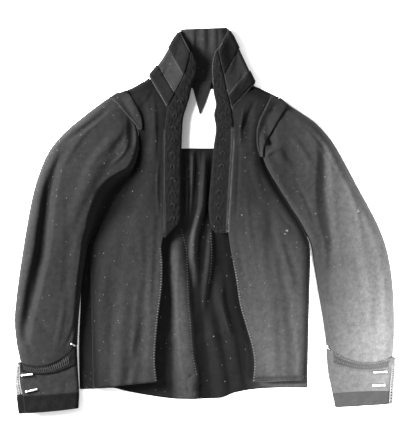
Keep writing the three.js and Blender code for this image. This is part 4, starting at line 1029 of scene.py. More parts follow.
def nap_group():
    """The short fibres of fulled or cut cloth: a height for bump and a fine speckle of tone."""
    inputs = [("Vector", "NodeSocketVector", (0, 0, 0)), ("Fibre", "NodeSocketFloat", 0.0006)]
    outputs = [("Height", "NodeSocketFloat"), ("Tone", "NodeSocketFloat")]
    group, given, out = new_group("nap", inputs, outputs)
    scale = one_over(group, given["Fibre"])
    coarse = product(group, scale, 0.22)
    fine = node(group, "TexNoise", Vector=given["Vector"], Scale=scale, Detail=2.0, Roughness=0.6)
    clumps = node(group, "TexNoise", Vector=given["Vector"], Scale=coarse, Detail=3.0, Roughness=0.6)
    both = calculated(group, "ADD", fine.outputs["Fac"], clumps.outputs["Fac"])
    group.links.new(both, out["Height"])
    group.links.new(ramp(group, both, 0.75, 1.3), out["Tone"])
    return group


def fading_group():
    """Painted light and shade: a tone made evenly lighter or darker along one direction."""
    inputs = [
        ("Colour", "NodeSocketColor", (0.1, 0.1, 0.1, 1)),
        ("Place", "NodeSocketFloat", 0.0),
        ("Start", "NodeSocketFloat", -0.25),
        ("End", "NodeSocketFloat", 0.1),
        ("Start Share", "NodeSocketFloat", 1.0),
        ("End Share", "NodeSocketFloat", 1.0),
    ]
    group, given, out = new_group("fading", inputs, [("Color", "NodeSocketColor")])
    ends = [given[name] for name in ("Start", "End", "Start Share", "End Share")]
    share = ramp(group, given["Place"], *ends)
    group.links.new(blend_colours(group, 1.0, given["Colour"], share, "MULTIPLY"), out["Color"])
    return group


def lint_group():
    """A mask of scattered pale specks of lint."""
    inputs = [("Vector", "NodeSocketVector", (0, 0, 0)), ("Spacing", "NodeSocketFloat", 0.008)]
    inputs.append(("Share", "NodeSocketFloat", 0.2))
    group, given, out = new_group("lint_specks", inputs, [("Mask", "NodeSocketFloat")])
    scale = one_over(group, given["Spacing"])
    cells = node(group, "TexVoronoi", Vector=given["Vector"], Scale=scale, Randomness=1.0)
    near = ramp(group, cells.outputs["Distance"], 0.05, 0.14, 1.0, 0.0)
    chosen = node(group, "SeparateColor", Color=cells.outputs["Color"]).outputs[0]
    kept = calculated(group, "LESS_THAN", chosen, given["Share"])
    group.links.new(product(group, near, kept), out["Mask"])
    return group


def weave_group():
    """A plain weave over and under, read from the map of the cut."""
    inputs = [("Vector", "NodeSocketVector", (0, 0, 0)), ("Thread", "NodeSocketFloat", 0.0005)]
    group, given, out = new_group("plain_weave", inputs, [("Height", "NodeSocketFloat")])
    turns = calculated(group, "DIVIDE", math.pi, given["Thread"])
    apart = node(group, "SeparateXYZ", Vector=given["Vector"])
    waves = [calculated(group, "SINE", product(group, apart.outputs[axis], turns)) for axis in (0, 1)]
    group.links.new(ramp(group, product(group, *waves), -1.0, 1.0), out["Height"])
    return group


def group_node(tree, group, **sockets):
    return node(tree, "Group", {"node_tree": GROUPS[group]}, **sockets)


def new_material(name, **shader):
    """A material with a Principled shader: its tree, its shader and the object's coordinates."""
    material = bpy.data.materials.new(name)
    material.use_nodes = True
    tree = material.node_tree
    principled = tree.nodes["Principled BSDF"]
    for socket, value in shader.items():
        principled.inputs[socket.replace("_", " ")].default_value = value
    return material, tree, principled, node(tree, "TexCoord")


def bump_to(tree, shader, height, distance, strength=1.0):
    made = node(tree, "Bump", Height=height, Distance=distance, Strength=strength)
    tree.links.new(made.outputs["Normal"], shader.inputs["Normal"])


def grey(value):
    return (value, value, value, 1.0)


def mottled(tree, where, tone, worn, size, amount):
    """A tone with clouds of a worn one."""
    tones = {"Colour": grey(tone), "Worn_Colour": grey(worn), "Cloud_Size": size, "Amount": amount}
    return group_node(tree, "mottle", Vector=where, **tones).outputs["Color"]


def flecked(tree, where, spacing, share, strength, cloth, fleck):
    """A cloth's colour with pale specks of lint on it."""
    lint = group_node(tree, "lint", Vector=where, Spacing=spacing, Share=share)
    mask = ramp(tree, lint.outputs["Mask"], 0.0, 1.0, 0.0, strength)
    return blend_colours(tree, mask, cloth, grey(fleck))


def wool_material(name, tone, *painted_light_and_shade, worn=1.6, specks=0.34):
    """Fulled wool, with clouds of a worn tone, given as a share of its own, and with painted light and
    shade along the axes given.
    """
    worn *= tone
    material, tree, shader, place = new_material(
        name, Roughness=0.95, Sheen_Weight=0.04, Sheen_Roughness=0.45, Specular_IOR_Level=0.08
    )
    where = place.outputs["Object"]
    nap = group_node(tree, "nap", Vector=where, Fibre=0.0015)
    tones = mottled(tree, where, tone, worn, 0.035, 0.55)
    speckled = blend_colours(tree, nap.outputs["Tone"], tones, grey(worn * 1.5))
    cloth_colour = blend_colours(tree, 0.6, tones, speckled)
    apart = node(tree, "SeparateXYZ", Vector=where)
    # Each gradient multiplies the tone by painted light or shade.
    for axis, start, end, first, last in painted_light_and_shade:
        ends = {"Start": start, "End": end, "Start_Share": first, "End_Share": last}
        ends["Place"] = apart.outputs[axis]
        cloth_colour = group_node(tree, "fading", Colour=cloth_colour, **ends).outputs["Color"]
    made = flecked(tree, where, 0.0075, specks, 0.6, cloth_colour, 0.09)
    tree.links.new(made, shader.inputs["Base Color"])
    bump_to(tree, shader, nap.outputs["Height"], 0.0006, 0.7)
    return material


def velvet_material(name, tone, worn):
    material, tree, shader, place = new_material(
        name, Roughness=0.9, Sheen_Weight=0.05, Sheen_Roughness=0.3, Specular_IOR_Level=0.06
    )
    where = place.outputs["Object"]
    tones = mottled(tree, where, tone, worn, 0.009, 0.8)
    nap = group_node(tree, "nap", Vector=where, Fibre=0.0016)
    made = blend_colours(tree, nap.outputs["Tone"], tones, grey(worn))
    soft = blend_colours(tree, 0.4, tones, made)
    tree.links.new(flecked(tree, where, 0.006, 0.12, 0.4, soft, 0.04), shader.inputs["Base Color"])
    bump_to(tree, shader, nap.outputs["Height"], 0.0009, 0.8)
    return material


def linen_material(name, tone):
    material, tree, shader, place = new_material(name, Roughness=0.85, Specular_IOR_Level=0.2)
    weave = group_node(tree, "weave", Vector=place.outputs["UV"], Thread=0.0007)
    tones = mottled(tree, place.outputs["Object"], tone, tone * 0.9, 0.05, 0.6)
    shade = ramp(tree, weave.outputs["Height"], 0.0, 1.0, 0.94, 1.0)
    made = blend_colours(tree, 1.0, tones, shade, "MULTIPLY")
    tree.links.new(made, shader.inputs["Base Color"])
    bump_to(tree, shader, weave.outputs["Height"], 0.0002, 0.6)
    return material


def thread_material(name, tone, worn):
    material, tree, shader, place = new_material(name, Roughness=0.7, Specular_IOR_Level=0.25)
    where = place.outputs["Object"]
    nap = group_node(tree, "nap", Vector=where, Fibre=0.0005)
    tree.links.new(mottled(tree, where, tone, worn, 0.012, 1.0), shader.inputs["Base Color"])
    bump_to(tree, shader, nap.outputs["Height"], 0.0002, 0.6)
    return material


def metal_material(name, tone, worn, roughness):
    material, tree, shader, place = new_material(name, Metallic=1.0)
    where = place.outputs["Object"]
    nap = group_node(tree, "nap", Vector=where, Fibre=0.0012)
    tree.links.new(mottled(tree, where, tone, worn, 0.004, 0.8), shader.inputs["Base Color"])
    rough = ramp(tree, nap.outputs["Tone"], 0.0, 1.0, roughness, roughness + 0.2)
    tree.links.new(rough, shader.inputs["Roughness"])
    bump_to(tree, shader, nap.outputs["Height"], 0.0001, 0.4)
    return material


GROUPS = {}
FINISHES = {}


def make_finishes(looks):
    """Builds every shared node group and material once."""
    GROUPS.update(mottle=mottle_group(), nap=nap_group(), lint=lint_group(), weave=weave_group())
    GROUPS.update(fading=fading_group())
    tone = looks.wool_tone
    # The fronts, sleeves, skirt and right cuff take lit and shaded copies of the wool, and the right cuff's
    # hem a lit copy of the velvet: their tones carry painted light and shade.
    FINISHES.update(
        wool=wool_material("fulled_wool", tone),
        left_front_wool=wool_material("fulled_wool_left_front_painted_light", tone, *LEFT_FRONT_PAINTED_LIGHT),
        right_front_wool=wool_material("fulled_wool_right_front_painted_light", tone, *FRONT_PAINTED_LIGHT),
        left_sleeve_wool=wool_material("fulled_wool_left_sleeve", tone, *LEFT_SLEEVE_PAINTED_LIGHT),
        right_sleeve_wool=wool_material("fulled_wool_right_sleeve", tone, *RIGHT_SLEEVE_PAINTED_LIGHT),
        skirt_wool=wool_material("fulled_wool_skirt_painted_light", tone, *SKIRT_PAINTED_LIGHT),
        wing_wool=wool_material("fulled_wool_wing", tone * 0.72, worn=1.2 / 0.72),
        pale_wool=wool_material("fulled_wool_painted_light", tone * 3.2, *CUFF_PAINTED_LIGHT, worn=1.5, specks=0.2),
        inner_wool=wool_material("wool_inside", tone * 0.7, worn=1.1 / 0.7, specks=0.1),
        velvet=velvet_material("velvet_band", looks.velvet_tone, looks.velvet_tone * 2.4),
        pale_velvet=velvet_material("velvet_worn_pale", tone * 2.4, tone * 3.4),
        linen=linen_material("linen_lining", looks.linen_tone),
        lace=thread_material("lace_thread", looks.linen_tone * 0.35, looks.linen_tone * 0.6),
        lint=thread_material("lint", 0.07, 0.12),
        stitches=thread_material("sewing_thread", looks.thread_tone, looks.thread_tone * 2.2),
        dark_stitches=thread_material("dark_thread", looks.thread_tone * 0.2, looks.thread_tone * 0.6),
        wire=metal_material("hook_wire", 0.02, 0.045, 0.6),
        silver=metal_material("silvered_bar", 0.9, 0.75, 0.3),
    )


# Settings that a user may change.


def length_setting(label, about, default, **limits):
    return bpy.props.FloatProperty(name=label, description=about, default=default, unit="LENGTH", **limits)


def tone_setting(label, about, default):
    return bpy.props.FloatProperty(
        name=label, description=about, default=default, min=0, max=1, subtype="FACTOR"
    )


def power_setting(label, about, default):
    return bpy.props.FloatProperty(name=label, description=about, default=default, min=0, unit="POWER")


class JacketSizes(bpy.types.PropertyGroup):
    cloth: length_setting("Cloth", "Thickness of the fulled wool", 0.0022, min=0.001)
    velvet: length_setting("Velvet", "Thickness of the folded velvet bands", 0.0028)
    thread: length_setting("Thread", "Diameter of the sewing thread", 0.0009)
    stitch: length_setting("Stitch", "Pace of the beaded edge stitching", 0.0044)
    featherstitch: length_setting("Featherstitch", "Pace of the featherstitched seams", 0.0042)


class JacketLooks(bpy.types.PropertyGroup):
    wool_tone: tone_setting("Wool", "Brightness of the black wool", 0.0074)
    velvet_tone: tone_setting("Velvet", "Brightness of the velvet", 0.0022)
    linen_tone: tone_setting("Linen", "Brightness of the lining", 0.5)
    thread_tone: tone_setting("Thread", "Brightness of the stitches", 0.04)
    key_power: power_setting("Key light", "Power of the window light", 155)
    spot_power: power_setting("Side lamp", "Power of the lamp over the right sleeve", 150)
    sky: bpy.props.FloatProperty(
        name="Sky",
        description="Strength of the light from all round",
        default=0.85,
        min=0,
        subtype="FACTOR",
    )


def sizes():
    """The sizes in millimetres."""
    given = bpy.context.scene.jacket_sizes
    return {name: getattr(given, name) * 1000 for name in given.__annotations__}


# Pieces.


class JACKET_OT_back(bpy.types.Operator):
    """Yoke back, its white lining and the dark point below the neck"""

    bl_idname = "jacket.back"
    bl_label = "Yoke back"

    def execute(self, context):
        cloth = sizes()["cloth"]
        lining = cloth + GAP + LINING
        point = lining + GAP + TRIM
        yoke = yoke_grid(0, cloth)
        cloth_piece("yoke_back_cloth", yoke, moved_down(yoke, cloth), "wool", "wool", "back_yoke", "laid")
        inner = yoke_grid(LINING_INSET, lining)
        inner[..., 2] += 0.25 * np.maximum(uneven(inner[..., 0], inner[..., 1], 34, 11), 0)
        cloth_piece(
            "yoke_lining_cloth", inner, moved_down(yoke_grid(LINING_INSET, lining), LINING),
            "linen", "linen", "yoke_lining", "laid", "yoke_back_cloth",
        )
        facing = facing_grid(point)
        cloth_piece(
            "neck_point_cloth", facing, moved_down(facing, TRIM),
            "inner_wool", "wool", "neck_facing", "laid", "yoke_lining_cloth",
        )
        return {"FINISHED"}


class JACKET_OT_skirt(bpy.types.Operator):
    """Pleated back skirt, seen from inside between the fronts"""

    bl_idname = "jacket.skirt"
    bl_label = "Back skirt"

    def execute(self, context):
        cloth = sizes()["cloth"]
        top = skirt_grid(cloth)
        under = moved_down(top, cloth)
        under[..., 2] = np.maximum(under[..., 2], 0)
        cloth_piece("skirt_cloth", top, under, "skirt_wool", "wool", "back_skirt", "gathered")
        return {"FINISHED"}


class JACKET_OT_fronts(bpy.types.Operator):
    """Both fronts, from the shoulder to the hem"""

    bl_idname = "jacket.fronts"
    bl_label = "Fronts"

    def execute(self, context):
        cloth = sizes()["cloth"]
        parts = [
            ("left", LEFT, FRONT_LEFT, ROLL_LEFT, FRONT_FOLDS_LEFT, FRONT_CREASES_LEFT, 21),
            ("right", RIGHT, FRONT_RIGHT, ROLL_RIGHT, FRONT_FOLDS_RIGHT, FRONT_CREASES_RIGHT, 23),
        ]
        for name, side, rows, rolls, folds, creases, seed in parts:
            top = front_grid(side, rows, rolls, folds, creases, cloth, seed)
            under = moved(top, -cloth * upward(top), cloth + GAP)
            cloth_piece(
                f"front_{name}_cloth", top, under,
                f"{name}_front_wool", "wool", f"front_{name}", "laid", "skirt_cloth", "yoke_back_cloth",
            )
        return {"FINISHED"}


class JACKET_OT_sleeves(bpy.types.Operator):
    """Both full sleeves, upper and under panels"""

    bl_idname = "jacket.sleeves"
    bl_label = "Sleeves"

    def execute(self, context):
        cloth = sizes()["cloth"]
        parts = [
            ("left", LEFT, SLEEVE_LEFT, SPREAD_LEFT, SLEEVE_FOLDS_LEFT, SLEEVE_CREASES_LEFT, 31),
            ("right", RIGHT, SLEEVE_RIGHT, SPREAD_RIGHT, SLEEVE_FOLDS_RIGHT, SLEEVE_CREASES_RIGHT, 33),
        ]
        for name, side, rows, spread, folds, creases, seed in parts:
            below = underside_grid(side, rows, spread, cloth)
            under = f"sleeve_{name}_underside"
            cloth_piece(
                under, below, moved_down(below, cloth),
                f"{name}_sleeve_wool", "wool", f"sleeve_{name}_under", "laid",
            )
            top = sleeve_grid(side, rows, spread, folds, creases, cloth, seed)
            cloth_piece(
                f"sleeve_{name}_cloth", top, moved(top, -cloth * upward(top), cloth + GAP),
                f"{name}_sleeve_wool", "wool", f"sleeve_{name}_upper", "laid", under,
            )
        return {"FINISHED"}


class JACKET_OT_wings(bpy.types.Operator):
    """Crescent wings of cloth over both armhole seams"""

    bl_idname = "jacket.wings"
    bl_label = "Shoulder wings"

    def execute(self, context):
        cloth = sizes()["cloth"]
        for name, rows in (("left", WING_LEFT), ("right", WING_RIGHT)):
            beneath = [f"front_{name}_cloth", f"sleeve_{name}_cloth"]
            height = lies_on(beneath)
            row = by_row(rows)
            t = np.linspace(0, len(rows["innerX"]) - 1, WING_ROWS)[:, None]
            u = np.linspace(0, 1, WING_ACROSS)
            x = mix(row["innerX"](t), row["outerX"](t), u)
            y = mix(row["innerY"](t), row["outerY"](t), u)
            feel = [WING_REACH, ARMHOLE_LEVEL]
            z = np.array([[near_top(height, a, b, *feel) for a, b in zip(*line)] for line in zip(x, y)])
            for _ in range(WING_SMOOTHINGS):
                around = np.pad(z, 1, mode="edge")
                mean = (around[2:, 1:-1] + around[:-2, 1:-1] + around[1:-1, 2:] + around[1:-1, :-2]) / 4
                z = np.maximum(z, (z + mean) / 2)
            under = points(x, y, z + GAP)
            top = under + np.array((0, 0, cloth))
            top[..., 2] += 0.3 * uneven(x, y, 18, 51) - 0.8 * (1 - smooth_step(np.minimum(u, 1 - u) / 0.12))
            cloth_piece(
                f"wing_{name}_cloth", top, under,
                "wing_wool", "wool", f"shoulder_wing_{name}", "laid", *beneath,
            )
        return {"FINISHED"}


class JACKET_OT_collar(bpy.types.Operator):
    """Stand collar folded flat at both sides, with velvet strips across its wings"""

    bl_idname = "jacket.collar"
    bl_label = "Collar"

    def execute(self, context):
        cloth = sizes()["cloth"]
        outer, _ = collar_grid(np.linspace(0, 1, COLLAR_ROWS))
        away = np.sign(grid_normals(outer)[COLLAR_ROWS // 3, WING_COLUMNS // 5, 2])
        inner = moved(outer, -cloth * away, 0.0)
        cloth_piece("collar_cloth", outer, inner, "wool", "wool", "collar", "folded")
        for part, low, high in COLLAR_STRIPS:
            grid, wing = collar_grid(np.linspace(low, high, STRIP_ROWS))
            sides = {"left": slice(0, wing - 2), "right": slice(grid.shape[1] - wing + 2, grid.shape[1])}
            for name, columns in sides.items():
                over = moved(grid, away * (GAP + TRIM))[:, columns]
                row = np.arange(STRIP_ROWS)[:, None]
                over[..., 2] -= 0.7 * (1 - smooth_step(np.minimum(row, row[::-1]) / 4))
                cloth_piece(
                    f"collar_velvet_{part}_{name}", over, moved(grid, away * GAP)[:, columns],
                    "velvet", "velvet", f"collar_trim_{part}_{name}", "folded", "collar_cloth",
                )
        return {"FINISHED"}


class JACKET_OT_bands(bpy.types.Operator):
    """Crushed velvet bands along both front edges"""

    bl_idname = "jacket.bands"
    bl_label = "Front bands"

    def execute(self, context):
        velvet = sizes()["velvet"]
        for name, rows in (("left", BAND_LEFT), ("right", BAND_RIGHT)):
            top = band_grid(rows)
            cloth_piece(
                f"band_{name}_velvet", top, moved_down(top, velvet),
                "velvet", "velvet", f"front_band_{name}", "laid", f"front_{name}_cloth", "collar_cloth",
            )
        return {"FINISHED"}


def bent_wire(name, half_width, leg, radius):
    """One wire lying flat: two legs, and a round bend between them."""
    deselect()
    bpy.ops.mesh.primitive_circle_add(
        vertices=8,
        radius=radius,
        fill_type="NGON",
        location=(-half_width, -leg, 0),
        rotation=(math.pi / 2, 0, 0),
    )
    piece = bpy.context.object
    piece.name = name
    bpy.ops.object.mode_set(mode="EDIT")
    bpy.ops.mesh.select_all(action="SELECT")
    bpy.ops.mesh.extrude_region_move(TRANSFORM_OT_translate={"value": (0, leg, 0)})
    bpy.ops.mesh.spin(steps=10, angle=math.pi, center=(0, 0, 0), axis=(0, 0, 1))
    bpy.ops.mesh.extrude_region_move(TRANSFORM_OT_translate={"value": (0, -leg, 0)})
    bpy.ops.mesh.select_all(action="SELECT")
    bpy.ops.mesh.remove_doubles(threshold=0.00001)
    bpy.ops.mesh.normals_make_consistent(inside=False)
    bpy.ops.object.mode_set(mode="OBJECT")
    apply_place(piece)
    bpy.ops.object.shade_smooth()
    return piece


def apply_place(piece):
    deselect()
    piece.select_set(True)
    bpy.context.view_layer.objects.active = piece
    bpy.ops.object.transform_apply(location=True, rotation=True, scale=True)


def copies_joined(name, model, places):
    """Copies a modelled piece to each place, each with its own mesh, and joins them."""
    made = []
    for place in places:
        copy = model.copy()
        copy.data = model.data.copy()
        copy.data.transform(place)
        bpy.context.scene.collection.objects.link(copy)
        made.append(copy)
    bpy.data.objects.remove(model)
    deselect()
    for copy in made:
        copy.select_set(True)
    bpy.context.view_layer.objects.active = made[0]
    if len(made) > 1:
        bpy.ops.object.join()
    made[0].name = name
    made[0].data.name = name
    return made[0]


class JACKET_OT_fasteners(bpy.types.Operator):
    """Wire hooks on the left band and eyes on the right"""

    bl_idname = "jacket.fasteners"
    bl_label = "Hooks and eyes"

    def execute(self, context):
        kinds = [
            ("hook", "left", BAND_LEFT, 0.0027, 0.0022, 0.00055),
            ("eye", "right", BAND_RIGHT, 0.0034, 0.0014, 0.0005),
        ]
        for kind, side, rows, half_width, leg, radius in kinds:
            height = lies_on([f"band_{side}_velvet"])
            centre = curve((rows["outerY"] + rows["innerY"]) / 2, (rows["outerX"] + rows["innerX"]) / 2)
            places = []
            for number in range(FASTENER_COUNT):
                y = FASTENER_FIRST_Y + number * FASTENER_PITCH
                x = float(centre(y))
                z = near_top(height, x, y, half_width * 1000, BAND_LEVEL) + radius * 700
                tilt = Matrix.Rotation(0.12 * math.sin(2.3 * number + half_width * 1000), 4, "Z")
                places.append(Matrix.Translation(to_frame((x, y - 1, z))) @ tilt)
            model = bent_wire(kind, half_width, leg, radius)
            piece = copies_joined(f"{kind}s_wire", model, places)
            nodes = [f"{kind}_{number + 1}" for number in range(FASTENER_COUNT)]
            finish(piece, FINISHES["wire"], nodes)
        return {"FINISHED"}


class JACKET_OT_cuffs(bpy.types.Operator):
    """Deep cuffs with an embroidered trim and a velvet hem band"""

    bl_idname = "jacket.cuffs"
    bl_label = "Cuffs"

    def execute(self, context):
        cloth = sizes()["cloth"]
        sides = [("left", CUFF_LEFT, "wool", "velvet", "velvet")]
        # The right cuff takes paler copies of the wool and velvet, with painted light.
        sides.append(("right", CUFF_RIGHT, "pale_wool", "pale_wool", "pale_velvet"))
        for name, rows, wool, trim, hem in sides:
            cuff = f"cuff_{name}_cloth"
            parts = [
                (
                    cuff, CLOTH_LEVELS, None, 0, (0, cloth),
                    wool, "wool", f"cuff_{name}", "folded", f"sleeve_{name}_underside",
                ),
                (
                    f"cuff_{name}_trim", TRIM_LEVELS, CUFF_TRIM_COLUMNS, 0, (-GAP - TRIM, -GAP),
                    trim, "velvet", f"cuff_trim_{name}", "folded", cuff,
                ),
                (
                    f"cuff_{name}_hem_velvet", HEM_LEVELS, None, 1, (0, cloth + 0.2),
                    hem, "velvet", f"cuff_hem_{name}", "folded", cuff,
                ),
            ]
            for piece, levels, columns, proud, depths, *said in parts:
                over, under = (cuff_grid(rows, levels, proud, depth)[:, :columns] for depth in depths)
                cloth_piece(piece, over, under, *said)
        return {"FINISHED"}


def cast_bar(length, radius):
    """A cast bar along X from a knob at the origin, shaped from a cylinder."""
    deselect()
    neck = radius * 3
    bpy.ops.mesh.primitive_cylinder_add(
        vertices=16,
        radius=radius,
        depth=length - neck,
        end_fill_type="NGON",
        location=((length + neck) / 2, 0, 0),
        rotation=(0, math.pi / 2, 0),
    )
    piece = bpy.context.object
    apply_place(piece)
    grow_end(piece, -1, [(0.3, 0.72), (0.5, 1.7), (0.9, 1.12), (0.7, 0.85), (0.4, 0.55)], radius)
    grow_end(piece, 1, [(0.15, 0.9), (0.2, 0.75)], radius)
    rounding = piece.modifiers.new("rounding", "SUBSURF")
    rounding.levels = rounding.render_levels = 1
    bpy.ops.object.modifier_apply(modifier=rounding.name)
    bpy.ops.object.shade_smooth()
    return piece


def grow_end(piece, way, steps, radius):
    """Extrudes the end face that looks along X, a length and a growth at a time."""
    bpy.ops.object.mode_set(mode="EDIT")
    bpy.ops.mesh.select_mode(type="FACE")
    bpy.ops.mesh.select_all(action="DESELECT")
    bpy.ops.object.mode_set(mode="OBJECT")
    ends = [face for face in piece.data.polygons if face.normal.x * way > 0.9]
    reach = ends[0].center.x
    for face in ends:
        face.select = True
    bpy.ops.object.mode_set(mode="EDIT")
    for step, growth in steps:
        move = way * step * radius
        reach += move
        bpy.ops.mesh.extrude_region_move(TRANSFORM_OT_translate={"value": (move, 0, 0)})
        bpy.ops.transform.resize(value=(1, growth, growth), center_override=(reach, 0, 0))
    bpy.ops.object.mode_set(mode="OBJECT")


class JACKET_OT_clasps(bpy.types.Operator):
    """Cast bars and small loops that close the cuffs"""

    bl_idname = "jacket.clasps"
    bl_label = "Cuff clasps"

    def execute(self, context):
        for side in ("left", "right"):
            height = lies_on([f"cuff_{side}_cloth", f"cuff_{side}_trim", f"sleeve_{side}_cloth"])
            for name, x, y, end_x, end_y, radius in CUFF_BARS[side]:
                start = near_top(height, x, y, radius * 0.6, SHOULDER_LEVEL) + radius * 1.35
                end = near_top(height, end_x, end_y, radius * 0.6, start - radius) + radius
                middle = near_top(height, (x + end_x) / 2, (y + end_y) / 2, radius, start - radius) + radius
                lift = max(0, middle - (start + end) / 2)
                a, b = Vector(to_frame((x, y, start + lift))), Vector(to_frame((end_x, end_y, end + lift)))
                turn = (b - a).to_track_quat("X", "Z").to_matrix().to_4x4()
                bar = cast_bar((b - a).length, radius / 1000)
                piece = copies_joined(f"clasp_{side}_{name}", bar, [Matrix.Translation(a) @ turn])
                finish(piece, FINISHES["silver"], [f"cuff_clasp_{side}_{name}"])
        return {"FINISHED"}


class JACKET_OT_lace(bpy.types.Operator):
    """Narrow scalloped lace along the cuffs' slits"""

    bl_idname = "jacket.lace"
    bl_label = "Cuff lace"

    def execute(self, context):
        for side, way, rows in (("left", LEFT, LACE_LEFT), ("right", RIGHT, LACE_RIGHT)):
            threads = Threads()
            level = sizes()["cloth"] + GAP + 0.9
            t, keys = np.linspace(0, 1, 90), np.linspace(0, 1, 4)
            x, y = curve(keys, rows["x"])(t), curve(keys, rows["y"])(t)
            tangent = unit(np.gradient(np.stack([x, y], axis=1), axis=0))
            out_x, out_y = np.sign(tangent[:, 1] * way) * (tangent[:, 1], -tangent[:, 0])

            def line(offset, lift=0.0):
                return points(x + out_x * offset, y + out_y * offset, level + lift + 0 * x)

            scallop = 4.2 + 1.3 * np.abs(np.sin(np.pi * LACE_SCALLOPS * t))
            for offset, radius in ((-2.8, 0.55), (1.6, 0.4), (scallop, 0.5)):
                threads.add(line(offset), radius)
            for phase in (0, np.pi):
                wave = np.sin(2 * np.pi * LACE_CROSSINGS * t + phase)
                for middle, swing in ((-0.6, 2.1), (3.1, 1.5)):
                    threads.add(line(middle + swing * wave, 0.25), 0.32)
            finish(threads.piece(f"lace_{side}_threads"), FINISHES["lace"], [f"cuff_lace_{side}"])
        return {"FINISHED"}


def beads_over(threads, line, height, pitch, inward, radius, level):
    """Short stitches over an edge: each comes from the cloth and goes down past the edge."""
    for x, y, way_x, way_y in paced(line, pitch):
        in_x, in_y = -way_y * inward, way_x * inward
        top = height(x + in_x * 1.6, y + in_y * 1.6, level) + radius * 0.55
        stitch = [
            (x + in_x * 2.0, y + in_y * 2.0, top - radius * 0.5),
            (x + in_x * 1.2, y + in_y * 1.2, top + 0.15),
            (x, y, top),
            (x - in_x * 0.8, y - in_y * 0.8, top - 1.0),
        ]
        threads.add(stitch, radius)


def beads_along(threads, line, height, pitch, radius, across, level):
    """Small plump stitches in a row, each lying across its line."""
    for x, y, way_x, way_y in paced(line, pitch):
        middle = height(x, y, level) + radius * 0.7
        reach_x, reach_y = -way_y * across / 2, way_x * across / 2
        low = middle - radius * 0.5
        stitch = [(x - reach_x, y - reach_y, low), (x, y, middle + 0.2), (x + reach_x, y + reach_y, low)]
        threads.add(stitch, radius)


def featherstitch(threads, line, height, pitch, width, radius, level):
    """Crossing stitches over a seam, from side to side, each ending in a small knot."""
    for x, y, way_x, way_y in paced(line, pitch):
        for side in (-1, 1):
            over_x, over_y = -way_y * width / 2 * side, way_x * width / 2 * side
            back_x, back_y = way_x * pitch * 0.42, way_y * pitch * 0.42
            stitch = []
            for f in (-1, -0.5, 0, 0.5, 1):
                px, py = x + over_x * f + back_x * f, y + over_y * f + back_y * f
                lift = radius * (0.9 - 0.5 * abs(f)) + 0.15 * (side > 0)
                stitch.append((px, py, height(px, py, level) + lift))
            threads.add(stitch, radius)
            px, py, pz = stitch[-1]
            knot = [(px - way_x * radius, py - way_y * radius, pz), (px, py, pz + radius * 0.6)]
            knot.append((px + way_x * radius, py + way_y * radius, pz))
            threads.add(knot, radius * 1.25)


def evened(lines):
    """Shares of a pitch that bring the same number of stitches onto each line."""
    lengths = [np.linalg.norm(np.diff(line, axis=0), axis=1).sum() for line in lines]
    return [length / lengths[0] for length in lengths]


def edge_line(rows, side, first, last, out):
    """A front's opening edge between two of its sections, moved out of the cloth."""
    row = by_row(rows)
    t = np.linspace(first, last, 60)
    return np.stack([side * (row["edgeX"](t) - out), row["edgeY"](t)], axis=1)


